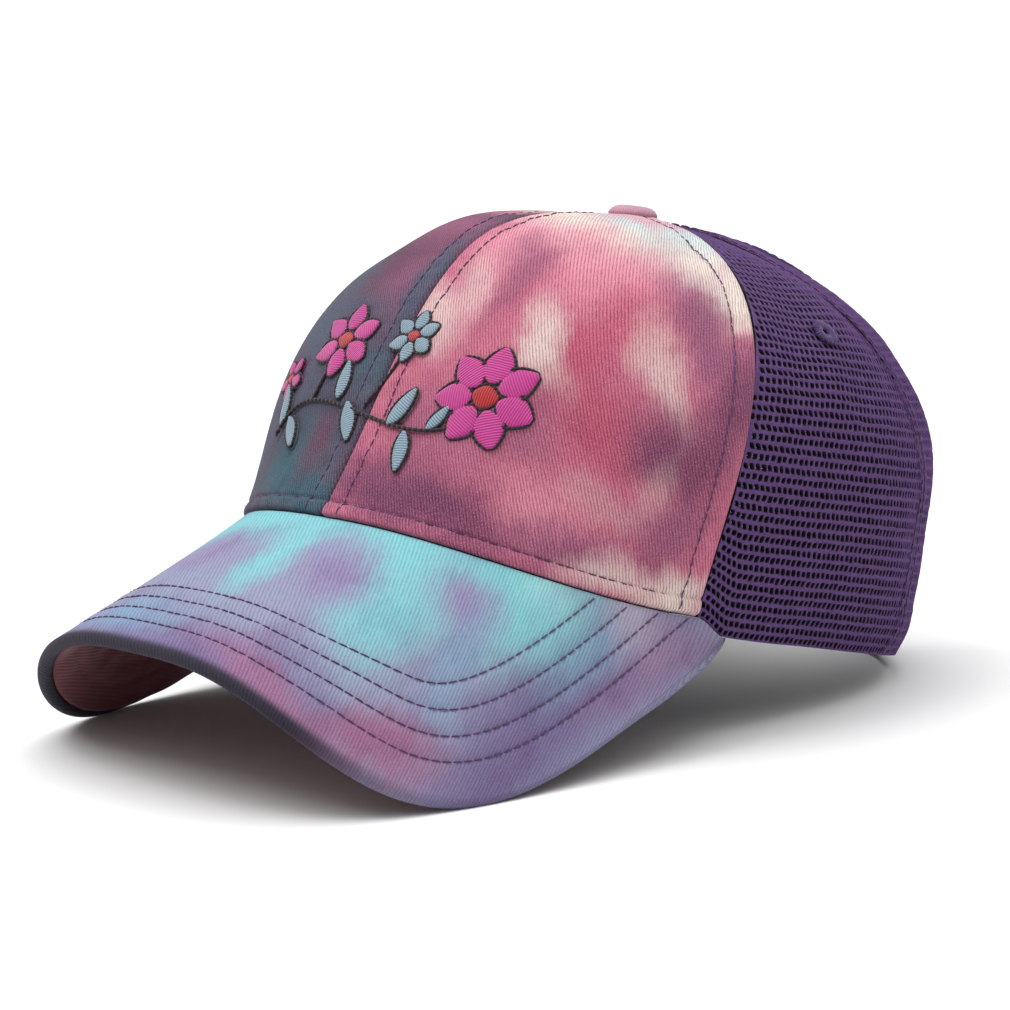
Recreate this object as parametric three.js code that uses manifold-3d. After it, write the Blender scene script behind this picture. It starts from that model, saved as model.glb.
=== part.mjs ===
// Ponytail baseball cap: two cloth front panels, four mesh panels, a curved peak, a sweatband, a
// bound opening at the back and a strap under it. Millimetres, +Z up. The wearer faces -Y and
// the wearer's left is +X. The cap is built with its rear rim level, then tilted back until it
// rests on both wings of its peak and on its strap, as a cap does on a table.
import * as THREE from "three";
import { mergeVertices } from "three/addons/utils/BufferGeometryUtils.js";
import Module from "manifold-3d";

const { lerp, smoothstep, degToRad, clamp } = THREE.MathUtils;
const quarterTurn = Math.PI / 2;

// Rim of the crown
const rimWidth = 160;
const rimFront = 103; // from the middle of the rim to its front
const rimRear = 100;
const rimSquareness = 2.36; // 2 is an ellipse
const rimFrontRise = 32; // the rim over the middle of the peak, above the rear rim
const rimSideRise = 14.5; // the rim at the ends of the front panels
const rimCornerRise = 9.5; // the mesh just behind the peak
const rimArchPower = 1.6;
const rimFlare = 4.5; // the cloth is pushed out over the peak
const rimFlareShare = 0.16; // of the way up to the button

// Crown
const crownHeight = 124; // above the rear rim
const crownTopBack = 4.5; // the button lies behind the middle of the rim
const panelPuff = 1.4; // a panel swells between its seams
const topHoleRadius = 4.2;
const climbPower = 1.35; // how much the climb from rim to button slows towards the button
const crest = { start: 0.8, end: 0.94 }; // of the way up; the crown turns round towards its top hole
const rimLevelShare = 0.05; // up to here the cloth's thickness turns level, for a level rim
// How square and how bulged the side view of the crown is towards the front, the side and the rear
const meridians = {
  front: { power: 0.603, bulge: -0.102 },
  side: { power: 0.885, bulge: 0.239 },
  rear: { power: 0.678, bulge: 0.111 },
};

// Seams, as angles from the front at the rim and at the button; a power over 1 turns later
const frontSeam = { rim: degToRad(73.5), top: degToRad(95.5), power: 1.33 };
const backSeam = { rim: degToRad(119), top: degToRad(112), power: 1 };
const seamGap = 0.3;

// Cloth and net
const twillThickness = 1.6;
const meshThickness = 1.3;
const sweatbandHeight = 32;
const sweatbandThickness = 1.2;
const sweatbandFoot = 0.004; // of the way from the rim to the button
const layerGap = 0.3;

// Peak
const peakEnd = degToRad(79.5); // where its ends leave the rim
const peakReach = 67.5; // ahead of the rim's front
const peakOverhang = 3.8; // how far its wings stand out past the widest rim
const peakWingStart = 8.5; // the wings' ends, ahead of the end of the seam
const peakPitch = degToRad(27.8);
const peakWingTuck = 2.4; // the wings' ends, below the rim
const peakArchPower = 3.05;
const peakArchFlare = 0.12; // the arch is deeper at the front than at the rim
const peakOutline = { across: 2.98, along: 3.5 };
const peakStationPower = 1.7; // how much closer its cross-sections stand towards its ends
const peakTaper = { start: 0.88, left: 0.02 }; // how late and how far its ends run out
const undersideEnd = 0.86; // of the way from the middle to the ends
const peakCore = 2.7;
const peakEdgeThickness = 3.6;
const peakLip = 3.4; // the cover's turned edge under the peak
const peakRounding = 1.1;
const undersideThickness = 0.8;

// Button
const buttonRadius = 7.3;
const buttonHeight = 3.6;
const buttonShankRadius = 2.8;
const buttonWasherRadius = 6.2;
const buttonWasherThickness = 0.8;

// Eyelets in the side panels
const eyeletRadius = 4.5;
const eyeletHole = 1.1;
const eyeletThickness = 0.9;
const eyeletHeightShare = 0.445; // of the way from the rim to the button
const eyeletAcrossShare = 0.43; // of the way from the front seam to the back seam

// How much closer the side panels' columns stand by the front seam, where the rim drops
const sideColumnPower = 1.6;

// Opening for the ponytail, its binding and the strap under it
const openingHalfWidth = 34;
const openingTopShare = 0.74; // of the way from the rim to the button
const openingSquareness = 2.3;
const archPower = 1.6; // how much closer its cross-sections stand towards its top
const bindingWidth = 7;
const bindingProud = 0.6; // how far the binding stands out of the net, on both sides
const strapHeight = 22;
const strapThickness = 1.4;
const strapOverlap = 14; // past the binding, inside the net

// How deep the floor flattens the cloth that rests on it
const restDepth = 0.45;

const wasm = await Module();
wasm.setup();

// A value that is given for the front, the side and the rear, at an angle from the front
function blendRound(name, angle) {
  const { front, side, rear } = meridians;
  const c = Math.cos(angle);
  const ends = (front[name] + rear[name]) / 2 - side[name];
  return side[name] + ((front[name] - rear[name]) / 2) * c + ends * c * c;
}

function rimPlan(angle) {
  const s = Math.sin(angle);
  const c = Math.cos(angle);
  const power = 2 / rimSquareness;
  const length = c > 0 ? rimFront : rimRear;
  return new THREE.Vector2(
    (rimWidth / 2) * Math.sign(s) * Math.abs(s) ** power,
    -length * Math.sign(c) * Math.abs(c) ** power,
  );
}

// How far an angle is from the front, on either side
const fromFront = (angle) => Math.acos(clamp(Math.cos(angle), -1, 1));

// 1 over the middle of the peak and 0 at its ends
function rimArch(angle) {
  const share = Math.min(fromFront(angle) / peakEnd, 1);
  return Math.max(Math.cos(quarterTurn * share), 0) ** rimArchPower;
}

// The rim arches up over the peak, drops behind its ends and runs out level to the rear
function rimHeight(angle) {
  const a = fromFront(angle);
  const front = lerp(rimSideRise, rimFrontRise, rimArch(angle));
  const rear = rimCornerRise * ((Math.PI - a) / (Math.PI - peakEnd)) ** 2;
  return lerp(front, rear, smoothstep(a, frontSeam.rim, peakEnd));
}

// The climb from the rim, 0, to the button, 1, is spaced so that equal steps are about equal arcs
const climbAngle = (climb) => quarterTurn * (1 - (1 - climb) ** climbPower);
const seamAngle = (seam, climb) => lerp(seam.rim, seam.top, (climbAngle(climb) / quarterTurn) ** seam.power);

// The share of the rim's distance from the button that is left at a climb
function meridianShare(angle, climb) {
  const t = climbAngle(climb);
  const along = (way) => {
    const round = Math.max(Math.cos(t), 0) ** blendRound("power", way);
    return round * (1 + blendRound("bulge", way) * Math.sin(2 * t));
  };
  return lerp(along(angle), along(quarterTurn), smoothstep(climb, crest.start, crest.end));
}

function puffAt(angle, climb) {
  const a = fromFront(angle);
  const front = seamAngle(frontSeam, climb);
  const back = seamAngle(backSeam, climb);
  const [from, to] = a < front ? [0, front] : a < back ? [front, back] : [back, Math.PI];
  return panelPuff * Math.sin((Math.PI * (a - from)) / (to - from)) * Math.sin(Math.PI * climb);
}

function flareAt(angle, climb) {
  const left = Math.max(1 - climb / rimFlareShare, 0);
  return rimFlare * Math.sqrt(rimArch(angle)) * left ** 2;
}

// A point of the crown's outer surface
function crownSurface(angle, climb) {
  const rim = rimPlan(angle);
  const share = meridianShare(angle, climb);
  const out = share + (puffAt(angle, climb) + flareAt(angle, climb)) / rim.length();
  const rise = rimHeight(angle);
  return new THREE.Vector3(
    rim.x * out,
    lerp(crownTopBack, rim.y, out),
    lerp(rise, crownHeight, Math.sin(climbAngle(climb))),
  );
}

function crownNormal(angle, climb) {
  const step = 1e-3;
  const low = Math.max(climb - step, 0);
  const high = Math.min(climb + step, 1 - step);
  const across = crownSurface(angle + step, climb).sub(crownSurface(angle - step, climb));
  const up = crownSurface(angle, high).sub(crownSurface(angle, low));
  return across.cross(up).normalize();
}

// A point of the crown, a depth in from its outer surface; a rim point stays at the rim's height
function crownPoint(angle, climb, depth) {
  const point = crownSurface(angle, climb);
  const normal = crownNormal(angle, climb);
  const level = smoothstep(climb, 0, rimLevelShare);
  normal.z *= level;
  return point.addScaledVector(normal.normalize(), -depth);
}

// The climb at which the crown's side has risen by an arc length, at an angle
function climbOfArc(angle, arc) {
  const steps = 400;
  let length = 0;
  let last = crownSurface(angle, 0);
  for (let i = 1; i <= steps; i++) {
    const point = crownSurface(angle, i / steps);
    length += point.distanceTo(last);
    if (length >= arc) return i / steps;
    last = point;
  }
  return 1;
}

const spread = (from, to, steps) => Array.from({ length: steps + 1 }, (_, i) => lerp(from, to, i / steps));

// A closed sheet between two grids of points of the same size, outer and inner
function sheetSolid(outer, inner) {
  const rows = outer.length;
  const columns = outer[0].length;
  const positions = [];
  for (const grid of [outer, inner]) {
    for (const row of grid) for (const point of row) positions.push(point.x, point.y, point.z);
  }
  const index = [];
  const at = (side, i, j) => side * rows * columns + i * columns + j;
  const quad = (a, b, c, d) => index.push(a, b, c, a, c, d);
  for (let i = 0; i + 1 < rows; i++) {
    for (let j = 0; j + 1 < columns; j++) {
      quad(at(0, i, j), at(0, i, j + 1), at(0, i + 1, j + 1), at(0, i + 1, j));
      quad(at(1, i, j), at(1, i + 1, j), at(1, i + 1, j + 1), at(1, i, j + 1));
    }
  }
  for (let j = 0; j + 1 < columns; j++) {
    quad(at(0, 0, j), at(1, 0, j), at(1, 0, j + 1), at(0, 0, j + 1));
    const last = rows - 1;
    quad(at(0, last, j), at(0, last, j + 1), at(1, last, j + 1), at(1, last, j));
  }
  for (let i = 0; i + 1 < rows; i++) {
    quad(at(0, i, 0), at(0, i + 1, 0), at(1, i + 1, 0), at(1, i, 0));
    const last = columns - 1;
    quad(at(0, i, last), at(1, i, last), at(1, i + 1, last), at(0, i + 1, last));
  }
  const geometry = new THREE.BufferGeometry();
  geometry.setAttribute("position", new THREE.Float32BufferAttribute(positions, 3));
  geometry.setIndex(index);
  return geometry;
}

// A sheet that follows the crown from one depth to another, over rows of climbs. The edges give
// each row's first and last angle, and the shares where its columns lie between them.
function crownSheet(climbs, edges, shares, outerDepth, innerDepth) {
  const grid = (depth) =>
    climbs.map((climb) => {
      const [from, to] = edges(climb);
      return shares.map((share) => crownPoint(lerp(from, to, share), climb, depth));
    });
  return sheetSolid(grid(outerDepth), grid(innerDepth));
}

// The angle that a width takes up at a climb
function widthAngle(width, angle, climb) {
  const point = crownSurface(angle, climb);
  return width / Math.hypot(point.x, point.y - crownTopBack);
}

// The angles of the points of the front and of the back that lie to the side of the middle
function frontAngle(side, climb, middle = 0) {
  const width = (rimWidth / 2) * meridianShare(middle, climb);
  const share = clamp(Math.abs(side) / width, 0, 1) ** (rimSquareness / 2);
  return Math.sign(side) * Math.asin(share);
}
const backAngle = (side, climb) => Math.PI - frontAngle(side, climb, Math.PI);

function climbOfRadius(radius) {
  const ends = { low: 0.5, high: 1 };
  for (let i = 0; i < 40; i++) {
    const middle = (ends.low + ends.high) / 2;
    const wide = crownSurface(quarterTurn, middle).x > radius;
    ends[wide ? "low" : "high"] = middle;
  }
  return ends.low;
}

const topClimb = climbOfRadius(topHoleRadius);
const panelRows = 14;
const panelClimbs = spread(0, topClimb, panelRows);

function frontPanel() {
  const edges = (climb) => {
    const half = widthAngle(seamGap / 2, quarterTurn, climb);
    return [frontAngle(seamGap / 2, climb), seamAngle(frontSeam, climb) - half];
  };
  return crownSheet(panelClimbs, edges, spread(0, 1, 14), 0, twillThickness);
}

function sidePanel() {
  const edges = (climb) => {
    const half = widthAngle(seamGap / 2, quarterTurn, climb);
    return [seamAngle(frontSeam, climb) + half, seamAngle(backSeam, climb) - half];
  };
  const shares = spread(0, 1, 12).map((step) => step ** sideColumnPower);
  return crownSheet(panelClimbs, edges, shares, 0, meshThickness);
}

// The arc up the middle of the back, from the rim to the button
const backArc = (() => {
  const points = spread(0, 1, 200).map((climb) => crownSurface(Math.PI, climb));
  return points.slice(1).reduce((sum, point, i) => sum + point.distanceTo(points[i]), 0);
})();

// The opening is an arch in the back. A margin widens it, for what borders it, and a share is a
// height in it, from its foot, 0, to its top, 1.
function openingArch(margin) {
  const top = openingTopShare + margin / backArc;
  const half = openingHalfWidth + margin;
  return (share) => ({
    climb: top * share,
    side: half * (1 - share ** openingSquareness) ** (1 / openingSquareness),
  });
}
const archShares = spread(0, 1, 16).map((step) => 1 - (1 - step) ** archPower);

function backPanel() {
  const arch = archShares.map(openingArch(bindingWidth + layerGap));
  const top = arch.at(-1).climb;
  const sides = new Map(arch.map(({ climb, side }) => [climb, side]));
  const climbs = [...sides.keys(), ...spread(top, topClimb, 4).slice(1)];
  const edges = (climb) => {
    const half = widthAngle(seamGap / 2, Math.PI, climb);
    const side = Math.max(sides.get(climb) ?? 0, seamGap / 2);
    return [seamAngle(backSeam, climb) + half, backAngle(side, climb)];
  };
  return crownSheet(climbs, edges, spread(0, 1, 9), 0, meshThickness);
}

function binding() {
  const row = (margin, depth) => {
    const left = archShares.map(openingArch(margin));
    const right = left.slice(0, -1).map(({ climb, side }) => ({ climb, side: -side }));
    const round = [...right, ...left.reverse()];
    return round.map(({ climb, side }) => crownPoint(backAngle(side, climb), climb, depth));
  };
  const grid = (depth) => [row(bindingWidth, depth), row(0, depth)];
  return sheetSolid(grid(-bindingProud), grid(meshThickness + bindingProud));
}

const strapHalfLength = openingHalfWidth + bindingWidth + strapOverlap;

function backStrap() {
  const depth = meshThickness + bindingProud + 2 * layerGap;
  const climbs = spread(0, climbOfArc(Math.PI, strapHeight), 3);
  const edges = (climb) => {
    const end = backAngle(strapHalfLength, climb);
    return [end, 2 * Math.PI - end];
  };
  return crownSheet(climbs, edges, spread(0, 1, 20), depth, depth + strapThickness);
}

function sweatband() {
  const depth = Math.max(twillThickness, meshThickness) + 2 * layerGap;
  const climbs = spread(sweatbandFoot, climbOfArc(quarterTurn, sweatbandHeight), 3);
  const edges = (climb) => {
    const end = backAngle(strapHalfLength + 2 * layerGap, climb);
    return [-end, end];
  };
  return crownSheet(climbs, edges, spread(0, 1, 52), depth, depth + sweatbandThickness);
}

// The wings' ends stand beside the end of the rim that carries the peak
const peakRoot = rimPlan(peakEnd);
const peakHalfWidth = rimWidth / 2 + peakOverhang;
const peakWingY = peakRoot.y - peakWingStart;

function peakEdgeRise(forward, archDrop, x) {
  const flare = 1 + (peakArchFlare * forward) / peakReach;
  const arch = flare * Math.abs(x / peakHalfWidth) ** peakArchPower;
  return rimFrontRise - Math.tan(peakPitch) * forward - archDrop * arch;
}

// The arch is as deep as it takes to bring the wings' ends a little below the rim
const peakArchDrop = (() => {
  const forward = -(peakWingY + rimFront);
  const flat = peakEdgeRise(forward, 0, peakHalfWidth);
  const flare = 1 + (peakArchFlare * forward) / peakReach;
  return (flat - (rimHeight(peakEnd) - peakWingTuck)) / flare;
})();

// Stations across the peak run from -1 to 1, in about equal steps along its outer edge
function stationTurn(station) {
  return Math.sign(station) * quarterTurn * (1 - (1 - Math.abs(station)) ** peakStationPower);
}

const peakRim = (station) => (stationTurn(station) / quarterTurn) * peakEnd;

function peakEdge(station) {
  const turn = stationTurn(station);
  const s = Math.sin(turn);
  const along = Math.max(Math.cos(turn), 0) ** (2 / peakOutline.along);
  const x = peakHalfWidth * Math.sign(s) * Math.abs(s) ** (2 / peakOutline.across);
  const y = lerp(peakWingY, -rimFront - peakReach, along);
  return new THREE.Vector3(x, y, peakEdgeRise(-(y + rimFront), peakArchDrop, x));
}

// The peak's ends are rounded off towards the rim
function peakTaperAt(station) {
  const past = clamp((Math.abs(station) - peakTaper.start) / (1 - peakTaper.start), 0, 1);
  return Math.sqrt(1 - (1 - peakTaper.left) * past * past);
}

// The ruling of the peak at a station, from the rim to the outer edge
function peakRuling(station) {
  const rim = crownPoint(peakRim(station), 0, 0);
  rim.z -= layerGap;
  const edge = peakEdge(station);
  return { rim, edge: rim.clone().lerp(edge, peakTaperAt(station)) };
}

function peakNormal(station, share) {
  const step = 0.01;
  const on = (s, k) => {
    const { rim, edge } = peakRuling(clamp(s, -1, 1));
    return rim.lerp(edge, k);
  };
  const across = on(station + step, share).sub(on(station - step, share));
  const { rim, edge } = peakRuling(station);
  return edge.sub(rim).cross(across).normalize();
}

// A point of the peak, a distance in from its outer edge and a depth under its top
function peakPoint(station, inset, depth) {
  const { rim, edge } = peakRuling(station);
  const share = clamp(1 - inset / rim.distanceTo(edge), 0, 1);
  return rim.lerp(edge, share).addScaledVector(peakNormal(station, share), -depth);
}

// The sizes of the peak's edge shrink where its ends run out
function edgeScale(station) {
  const { rim, edge } = peakRuling(station);
  return Math.min(1, rim.distanceTo(edge) / (4 * peakLip));
}

const peakStations = spread(-1, 1, 44);

function peakRow(station, side) {
  const { rim, edge } = peakRuling(station);
  const length = rim.distanceTo(edge);
  const scale = edgeScale(station);
  const lip = (peakLip + layerGap) * scale;
  const flat = spread(length, lip, 5).map((inset) => ({ inset, top: 0, under: peakCore }));
  const turned = [
    { inset: peakLip * scale, top: 0, under: peakEdgeThickness },
    { inset: peakRounding * scale, top: 0, under: peakEdgeThickness },
    { inset: 0.3 * peakRounding * scale, top: 0.1 * peakEdgeThickness, under: 0.9 * peakEdgeThickness },
    { inset: 0, top: 0.35 * peakEdgeThickness, under: 0.65 * peakEdgeThickness },
  ];
  return [...flat, ...turned].map((row) => peakPoint(station, row.inset, row[side]));
}

// The peak has a ledge along the rim, on which the front panels stand
function peak() {
  const top = peakStations.map((station) => {
    const ledge = crownPoint(peakRim(station), 0, twillThickness);
    ledge.z -= layerGap;
    return [ledge, ...peakRow(station, "top")];
  });
  const under = peakStations.map((station) => {
    const row = peakRow(station, "under");
    const ledge = crownPoint(peakRim(station), 0, twillThickness);
    ledge.z = row[0].z;
    return [ledge.lerp(row[0], 0.5), ...row];
  });
  return sheetSolid(top, under);
}

function peakUnderside() {
  const stations = spread(-undersideEnd, undersideEnd, 36);
  const grid = (depth) =>
    stations.map((station) => {
      const { rim, edge } = peakRuling(station);
      const from = rim.distanceTo(edge) - layerGap;
      const to = (peakLip + 2 * layerGap) * edgeScale(station);
      return spread(from, to, 4).map((inset) => peakPoint(station, inset, depth));
    });
  const depth = peakCore + layerGap;
  return sheetSolid(grid(depth), grid(depth + undersideThickness));
}

// A covered button with the shank and washer that hold it in the top of the crown
function button() {
  const foot = layerGap;
  const washer = -twillThickness - 2 * layerGap;
  const profile = [
    [0, washer - buttonWasherThickness],
    [buttonWasherRadius, washer - buttonWasherThickness],
    [buttonWasherRadius, washer],
    [buttonShankRadius, washer],
    [buttonShankRadius, foot],
    [0.94 * buttonRadius, foot],
    [buttonRadius, foot + 0.3 * buttonHeight],
    [0.93 * buttonRadius, foot + 0.62 * buttonHeight],
    [0.72 * buttonRadius, foot + 0.86 * buttonHeight],
    [0.4 * buttonRadius, foot + 0.97 * buttonHeight],
    [0, foot + buttonHeight],
  ].map(([r, z]) => new THREE.Vector2(r, z));
  return new THREE.LatheGeometry(profile, 20).rotateX(quarterTurn);
}

function eyelet() {
  const profile = [
    [eyeletHole, 0],
    [eyeletRadius, 0],
    [eyeletRadius, 0.4 * eyeletThickness],
    [0.8 * eyeletRadius, eyeletThickness],
    [1.5 * eyeletHole, eyeletThickness],
    [eyeletHole, 0.5 * eyeletThickness],
    [eyeletHole, 0],
  ].map(([r, z]) => new THREE.Vector2(r, z));
  return new THREE.LatheGeometry(profile, 16).rotateX(quarterTurn);
}

// The other side's copy of a piece
function mirrored(geometry) {
  const copy = geometry.clone().scale(-1, 1, 1);
  const index = copy.getIndex();
  for (let i = 0; i < index.count; i += 3) {
    const first = index.getX(i);
    index.setX(i, index.getX(i + 1));
    index.setX(i + 1, first);
  }
  return copy;
}

function toSolid(geometry) {
  const bare = new THREE.BufferGeometry();
  bare.setAttribute("position", geometry.getAttribute("position"));
  bare.setIndex(geometry.getIndex());
  const merged = mergeVertices(bare, 1e-4);
  return new wasm.Manifold(
    new wasm.Mesh({
      numProp: 3,
      vertProperties: new Float32Array(merged.getAttribute("position").array),
      triVerts: new Uint32Array(merged.getIndex().array),
    }),
  );
}

function toGeometry(solid) {
  const { numProp, vertProperties, triVerts } = solid.getMesh();
  const positions = [];
  for (let i = 0; i < vertProperties.length; i += numProp) positions.push(...vertProperties.subarray(i, i + 3));
  const geometry = new THREE.BufferGeometry();
  geometry.setAttribute("position", new THREE.Float32BufferAttribute(positions, 3));
  geometry.setIndex([...triVerts]);
  return geometry;
}

const pointsOf = (geometry) => {
  const position = geometry.getAttribute("position");
  return spread(0, position.count - 1, position.count - 1).map((i) =>
    new THREE.Vector3().fromBufferAttribute(position, Math.round(i)),
  );
};

const tiltedBack = (tilt) => new THREE.Matrix4().makeRotationX(-tilt);
const lowest = (points, placed) => Math.min(...points.map((point) => point.clone().applyMatrix4(placed).z));

// The tilt at which the peak's wings and the strap are equally low
function restTiltOf(peakPoints, strapPoints) {
  const ends = { low: 0, high: degToRad(40) };
  for (let i = 0; i < 40; i++) {
    const tilt = (ends.low + ends.high) / 2;
    const placed = tiltedBack(tilt);
    const peakIsLow = lowest(peakPoints, placed) < lowest(strapPoints, placed);
    ends[peakIsLow ? "low" : "high"] = tilt;
  }
  return ends.low;
}

const twill = new THREE.MeshStandardMaterial({ color: 0xb9728f, roughness: 0.9 });
const peakTwill = new THREE.MeshStandardMaterial({ color: 0x8f9cc4, roughness: 0.9 });
const undersideTwill = new THREE.MeshStandardMaterial({ color: 0x7a3f4c, roughness: 0.9 });
const net = new THREE.MeshStandardMaterial({ color: 0x5a3d78, roughness: 0.8 });
const tape = new THREE.MeshStandardMaterial({ color: 0x4f3569, roughness: 0.85 });

const leftFront = frontPanel();
const leftSide = sidePanel();
const leftBack = backPanel();
const pieces = [
  ["front_panel_left", leftFront, twill],
  ["front_panel_right", mirrored(leftFront), twill],
  ["side_panel_left", leftSide, net],
  ["side_panel_right", mirrored(leftSide), net],
  ["back_panel_left", leftBack, net],
  ["back_panel_right", mirrored(leftBack), net],
  ["peak", peak(), peakTwill],
  ["peak_underside", peakUnderside(), undersideTwill],
  ["sweatband", sweatband(), tape],
  ["opening_binding", binding(), tape],
  ["back_strap", backStrap(), tape],
];
const shape = (name) => pieces.find(([piece]) => piece === name)[1];

const restTilt = restTiltOf(pointsOf(shape("peak")), pointsOf(shape("back_strap")));
const restLift = -lowest(pointsOf(shape("back_strap")), tiltedBack(restTilt)) - restDepth;

const cap = new THREE.Group();
cap.rotation.x = -restTilt;
cap.position.z = restLift;
cap.updateMatrixWorld(true);

const floorSize = 3 * (rimFront + rimRear + peakReach);
const floor = new THREE.BoxGeometry(floorSize, floorSize, floorSize);
floor.translate(0, 0, -floorSize / 2).applyMatrix4(cap.matrixWorld.clone().invert());
const floorSolid = toSolid(floor);

for (const [name, geometry, material] of pieces) {
  const flattened = toSolid(geometry).subtract(floorSolid);
  const mesh = new THREE.Mesh(toGeometry(flattened), material);
  mesh.name = name;
  cap.add(mesh);
}

const topButton = new THREE.Mesh(button(), twill);
topButton.name = "button";
topButton.position.set(0, crownTopBack, crownHeight);
cap.add(topButton);

const eyeletSeams = [frontSeam, backSeam].map((seam) => seamAngle(seam, eyeletHeightShare));
const eyeletAngle = lerp(...eyeletSeams, eyeletAcrossShare);
for (const [name, angle] of [
  ["eyelet_left", eyeletAngle],
  ["eyelet_right", -eyeletAngle],
]) {
  const ring = new THREE.Mesh(eyelet(), tape);
  ring.name = name;
  ring.position.copy(crownPoint(angle, eyeletHeightShare, -layerGap));
  const outward = crownNormal(angle, eyeletHeightShare);
  ring.quaternion.setFromUnitVectors(new THREE.Vector3(0, 0, 1), outward);
  cap.add(ring);
}

// The origin lies on the floor under the middle of the cap
const box = new THREE.Box3().setFromObject(cap, true);
cap.position.y -= (box.min.y + box.max.y) / 2;

const part = new THREE.Group();
part.add(cap);
export default part;
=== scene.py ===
# A tie-dyed ponytail baseball cap on a pale floor. Sizes are in millimetres in the cap's own
# frame, in which its rear rim is level; placed() tilts it back as it rests, in metres.
import math
import random

import bpy
import numpy as np
from mathutils import Matrix, Vector, noise


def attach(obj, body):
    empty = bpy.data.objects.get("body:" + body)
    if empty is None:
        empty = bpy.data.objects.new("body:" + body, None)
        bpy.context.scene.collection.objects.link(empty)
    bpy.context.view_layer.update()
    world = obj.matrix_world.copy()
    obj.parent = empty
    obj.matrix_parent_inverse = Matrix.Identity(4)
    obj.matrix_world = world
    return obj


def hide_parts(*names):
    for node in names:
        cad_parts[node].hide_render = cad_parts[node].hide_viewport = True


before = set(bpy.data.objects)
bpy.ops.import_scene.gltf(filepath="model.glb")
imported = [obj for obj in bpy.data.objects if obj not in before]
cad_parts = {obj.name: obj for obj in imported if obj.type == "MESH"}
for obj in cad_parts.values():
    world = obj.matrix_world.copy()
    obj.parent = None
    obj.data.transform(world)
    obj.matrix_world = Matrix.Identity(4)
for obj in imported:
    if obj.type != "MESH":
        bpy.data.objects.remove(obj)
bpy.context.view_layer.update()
random.seed(7)

MM = 0.001
QUARTER = math.pi / 2

# Rim, crown and peak: the sizes of the solids
RIM_WIDTH = 160
RIM_FRONT = 103
RIM_REAR = 100
RIM_SQUARENESS = 2.36
RIM_FRONT_RISE = 32
RIM_SIDE_RISE = 14.5
RIM_CORNER_RISE = 9.5
RIM_ARCH_POWER = 1.6
RIM_FLARE = 4.5
RIM_FLARE_SHARE = 0.16
CROWN_HEIGHT = 124
CROWN_TOP_BACK = 4.5
PANEL_PUFF = 1.4
RIM_LEVEL_SHARE = 0.05
TOP_HOLE_RADIUS = 4.2
MERIDIAN_POWER = {"front": 0.603, "side": 0.885, "rear": 0.678}
MERIDIAN_BULGE = {"front": -0.102, "side": 0.239, "rear": 0.111}
CLIMB_POWER = 1.35
CREST = (0.8, 0.94)
FRONT_SEAM = {"rim": math.radians(73.5), "top": math.radians(95.5), "power": 1.33}
BACK_SEAM = {"rim": math.radians(119), "top": math.radians(112), "power": 1}
SEAM_GAP = 0.05
LAYER_GAP = 0.3

TWILL_THICKNESS = 1.6
MESH_THICKNESS = 1.3
SWEATBAND_HEIGHT = 32
SWEATBAND_THICKNESS = 1.2

PEAK_END = math.radians(79.5)
PEAK_REACH = 67.5
PEAK_OVERHANG = 3.8
PEAK_WING_START = 8.5
PEAK_PITCH = math.radians(27.8)
PEAK_WING_TUCK = 2.4
PEAK_ARCH_POWER = 3.05
PEAK_ARCH_FLARE = 0.12
PEAK_OUTLINE_ACROSS = 2.98
PEAK_OUTLINE_ALONG = 3.5
PEAK_CORE = 2.7
PEAK_EDGE_THICKNESS = 3.6
PEAK_LIP = 3.4
UNDERSIDE_THICKNESS = 0.8

BUTTON_RADIUS = 7.3
BUTTON_HEIGHT = 3.6
EYELET_RADIUS = 4.5
EYELET_HOLE = 1.1
EYELET_HEIGHT_SHARE = 0.445
EYELET_ACROSS_SHARE = 0.43

OPENING_HALF_WIDTH = 34
OPENING_TOP_SHARE = 0.74
OPENING_SQUARENESS = 2.3
BINDING_WIDTH = 7
BINDING_PROUD = 0.6
STRAP_HEIGHT = 22
STRAP_THICKNESS = 1.4
STRAP_OVERLAP = 14


def rest_placement():
    """The tilt, and the move in Y and Z, at which the cap rests, measured on the button."""
    points = np.array([v.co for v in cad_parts["button"].data.vertices])
    middle = points.mean(0)
    _, vectors = np.linalg.eigh(np.cov((points - middle).T))
    axis = vectors[:, 0] * np.sign(vectors[2, 0])
    top = middle + axis * ((points @ axis).max() - middle @ axis)
    tilt = math.atan2(axis[1], axis[2])
    y = CROWN_TOP_BACK * MM
    z = (CROWN_HEIGHT + LAYER_GAP + BUTTON_HEIGHT) * MM
    moved_y = top[1] - (y * math.cos(tilt) + z * math.sin(tilt))
    moved_z = top[2] - (z * math.cos(tilt) - y * math.sin(tilt))
    return tilt, moved_y, moved_z


TILT, MOVED_Y, MOVED_Z = rest_placement()


def placed(points):
    """Points of the cap's own frame, in the row frame and in metres."""
    x, y, z = (np.asarray(points, float)[..., i] * MM for i in range(3))
    c, s = math.cos(TILT), math.sin(TILT)
    height = np.maximum(z * c - y * s + MOVED_Z, 0)
    return np.stack([x, y * c + z * s + MOVED_Y, height], -1)


def smooth(x, low, high):
    t = np.clip((x - low) / (high - low), 0, 1)
    return t * t * (3 - 2 * t)


def line_dip(distance, depth, width):
    return -depth * np.exp(-((distance / width) ** 2))


def soft_noise(a, b, seed):
    """Perlin noise, about -0.5 to 0.5, at the pairs of coordinates of two arrays."""
    a, b = np.broadcast_arrays(a, b)
    values = [noise.noise((x, y, seed)) for x, y in zip(a.ravel(), b.ravel())]
    return np.array(values).reshape(a.shape)


# The crown


def round_blend(table, angle):
    c = np.cos(angle)
    front, side, rear = table["front"], table["side"], table["rear"]
    return side + (front - rear) / 2 * c + ((front + rear) / 2 - side) * c * c


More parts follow.
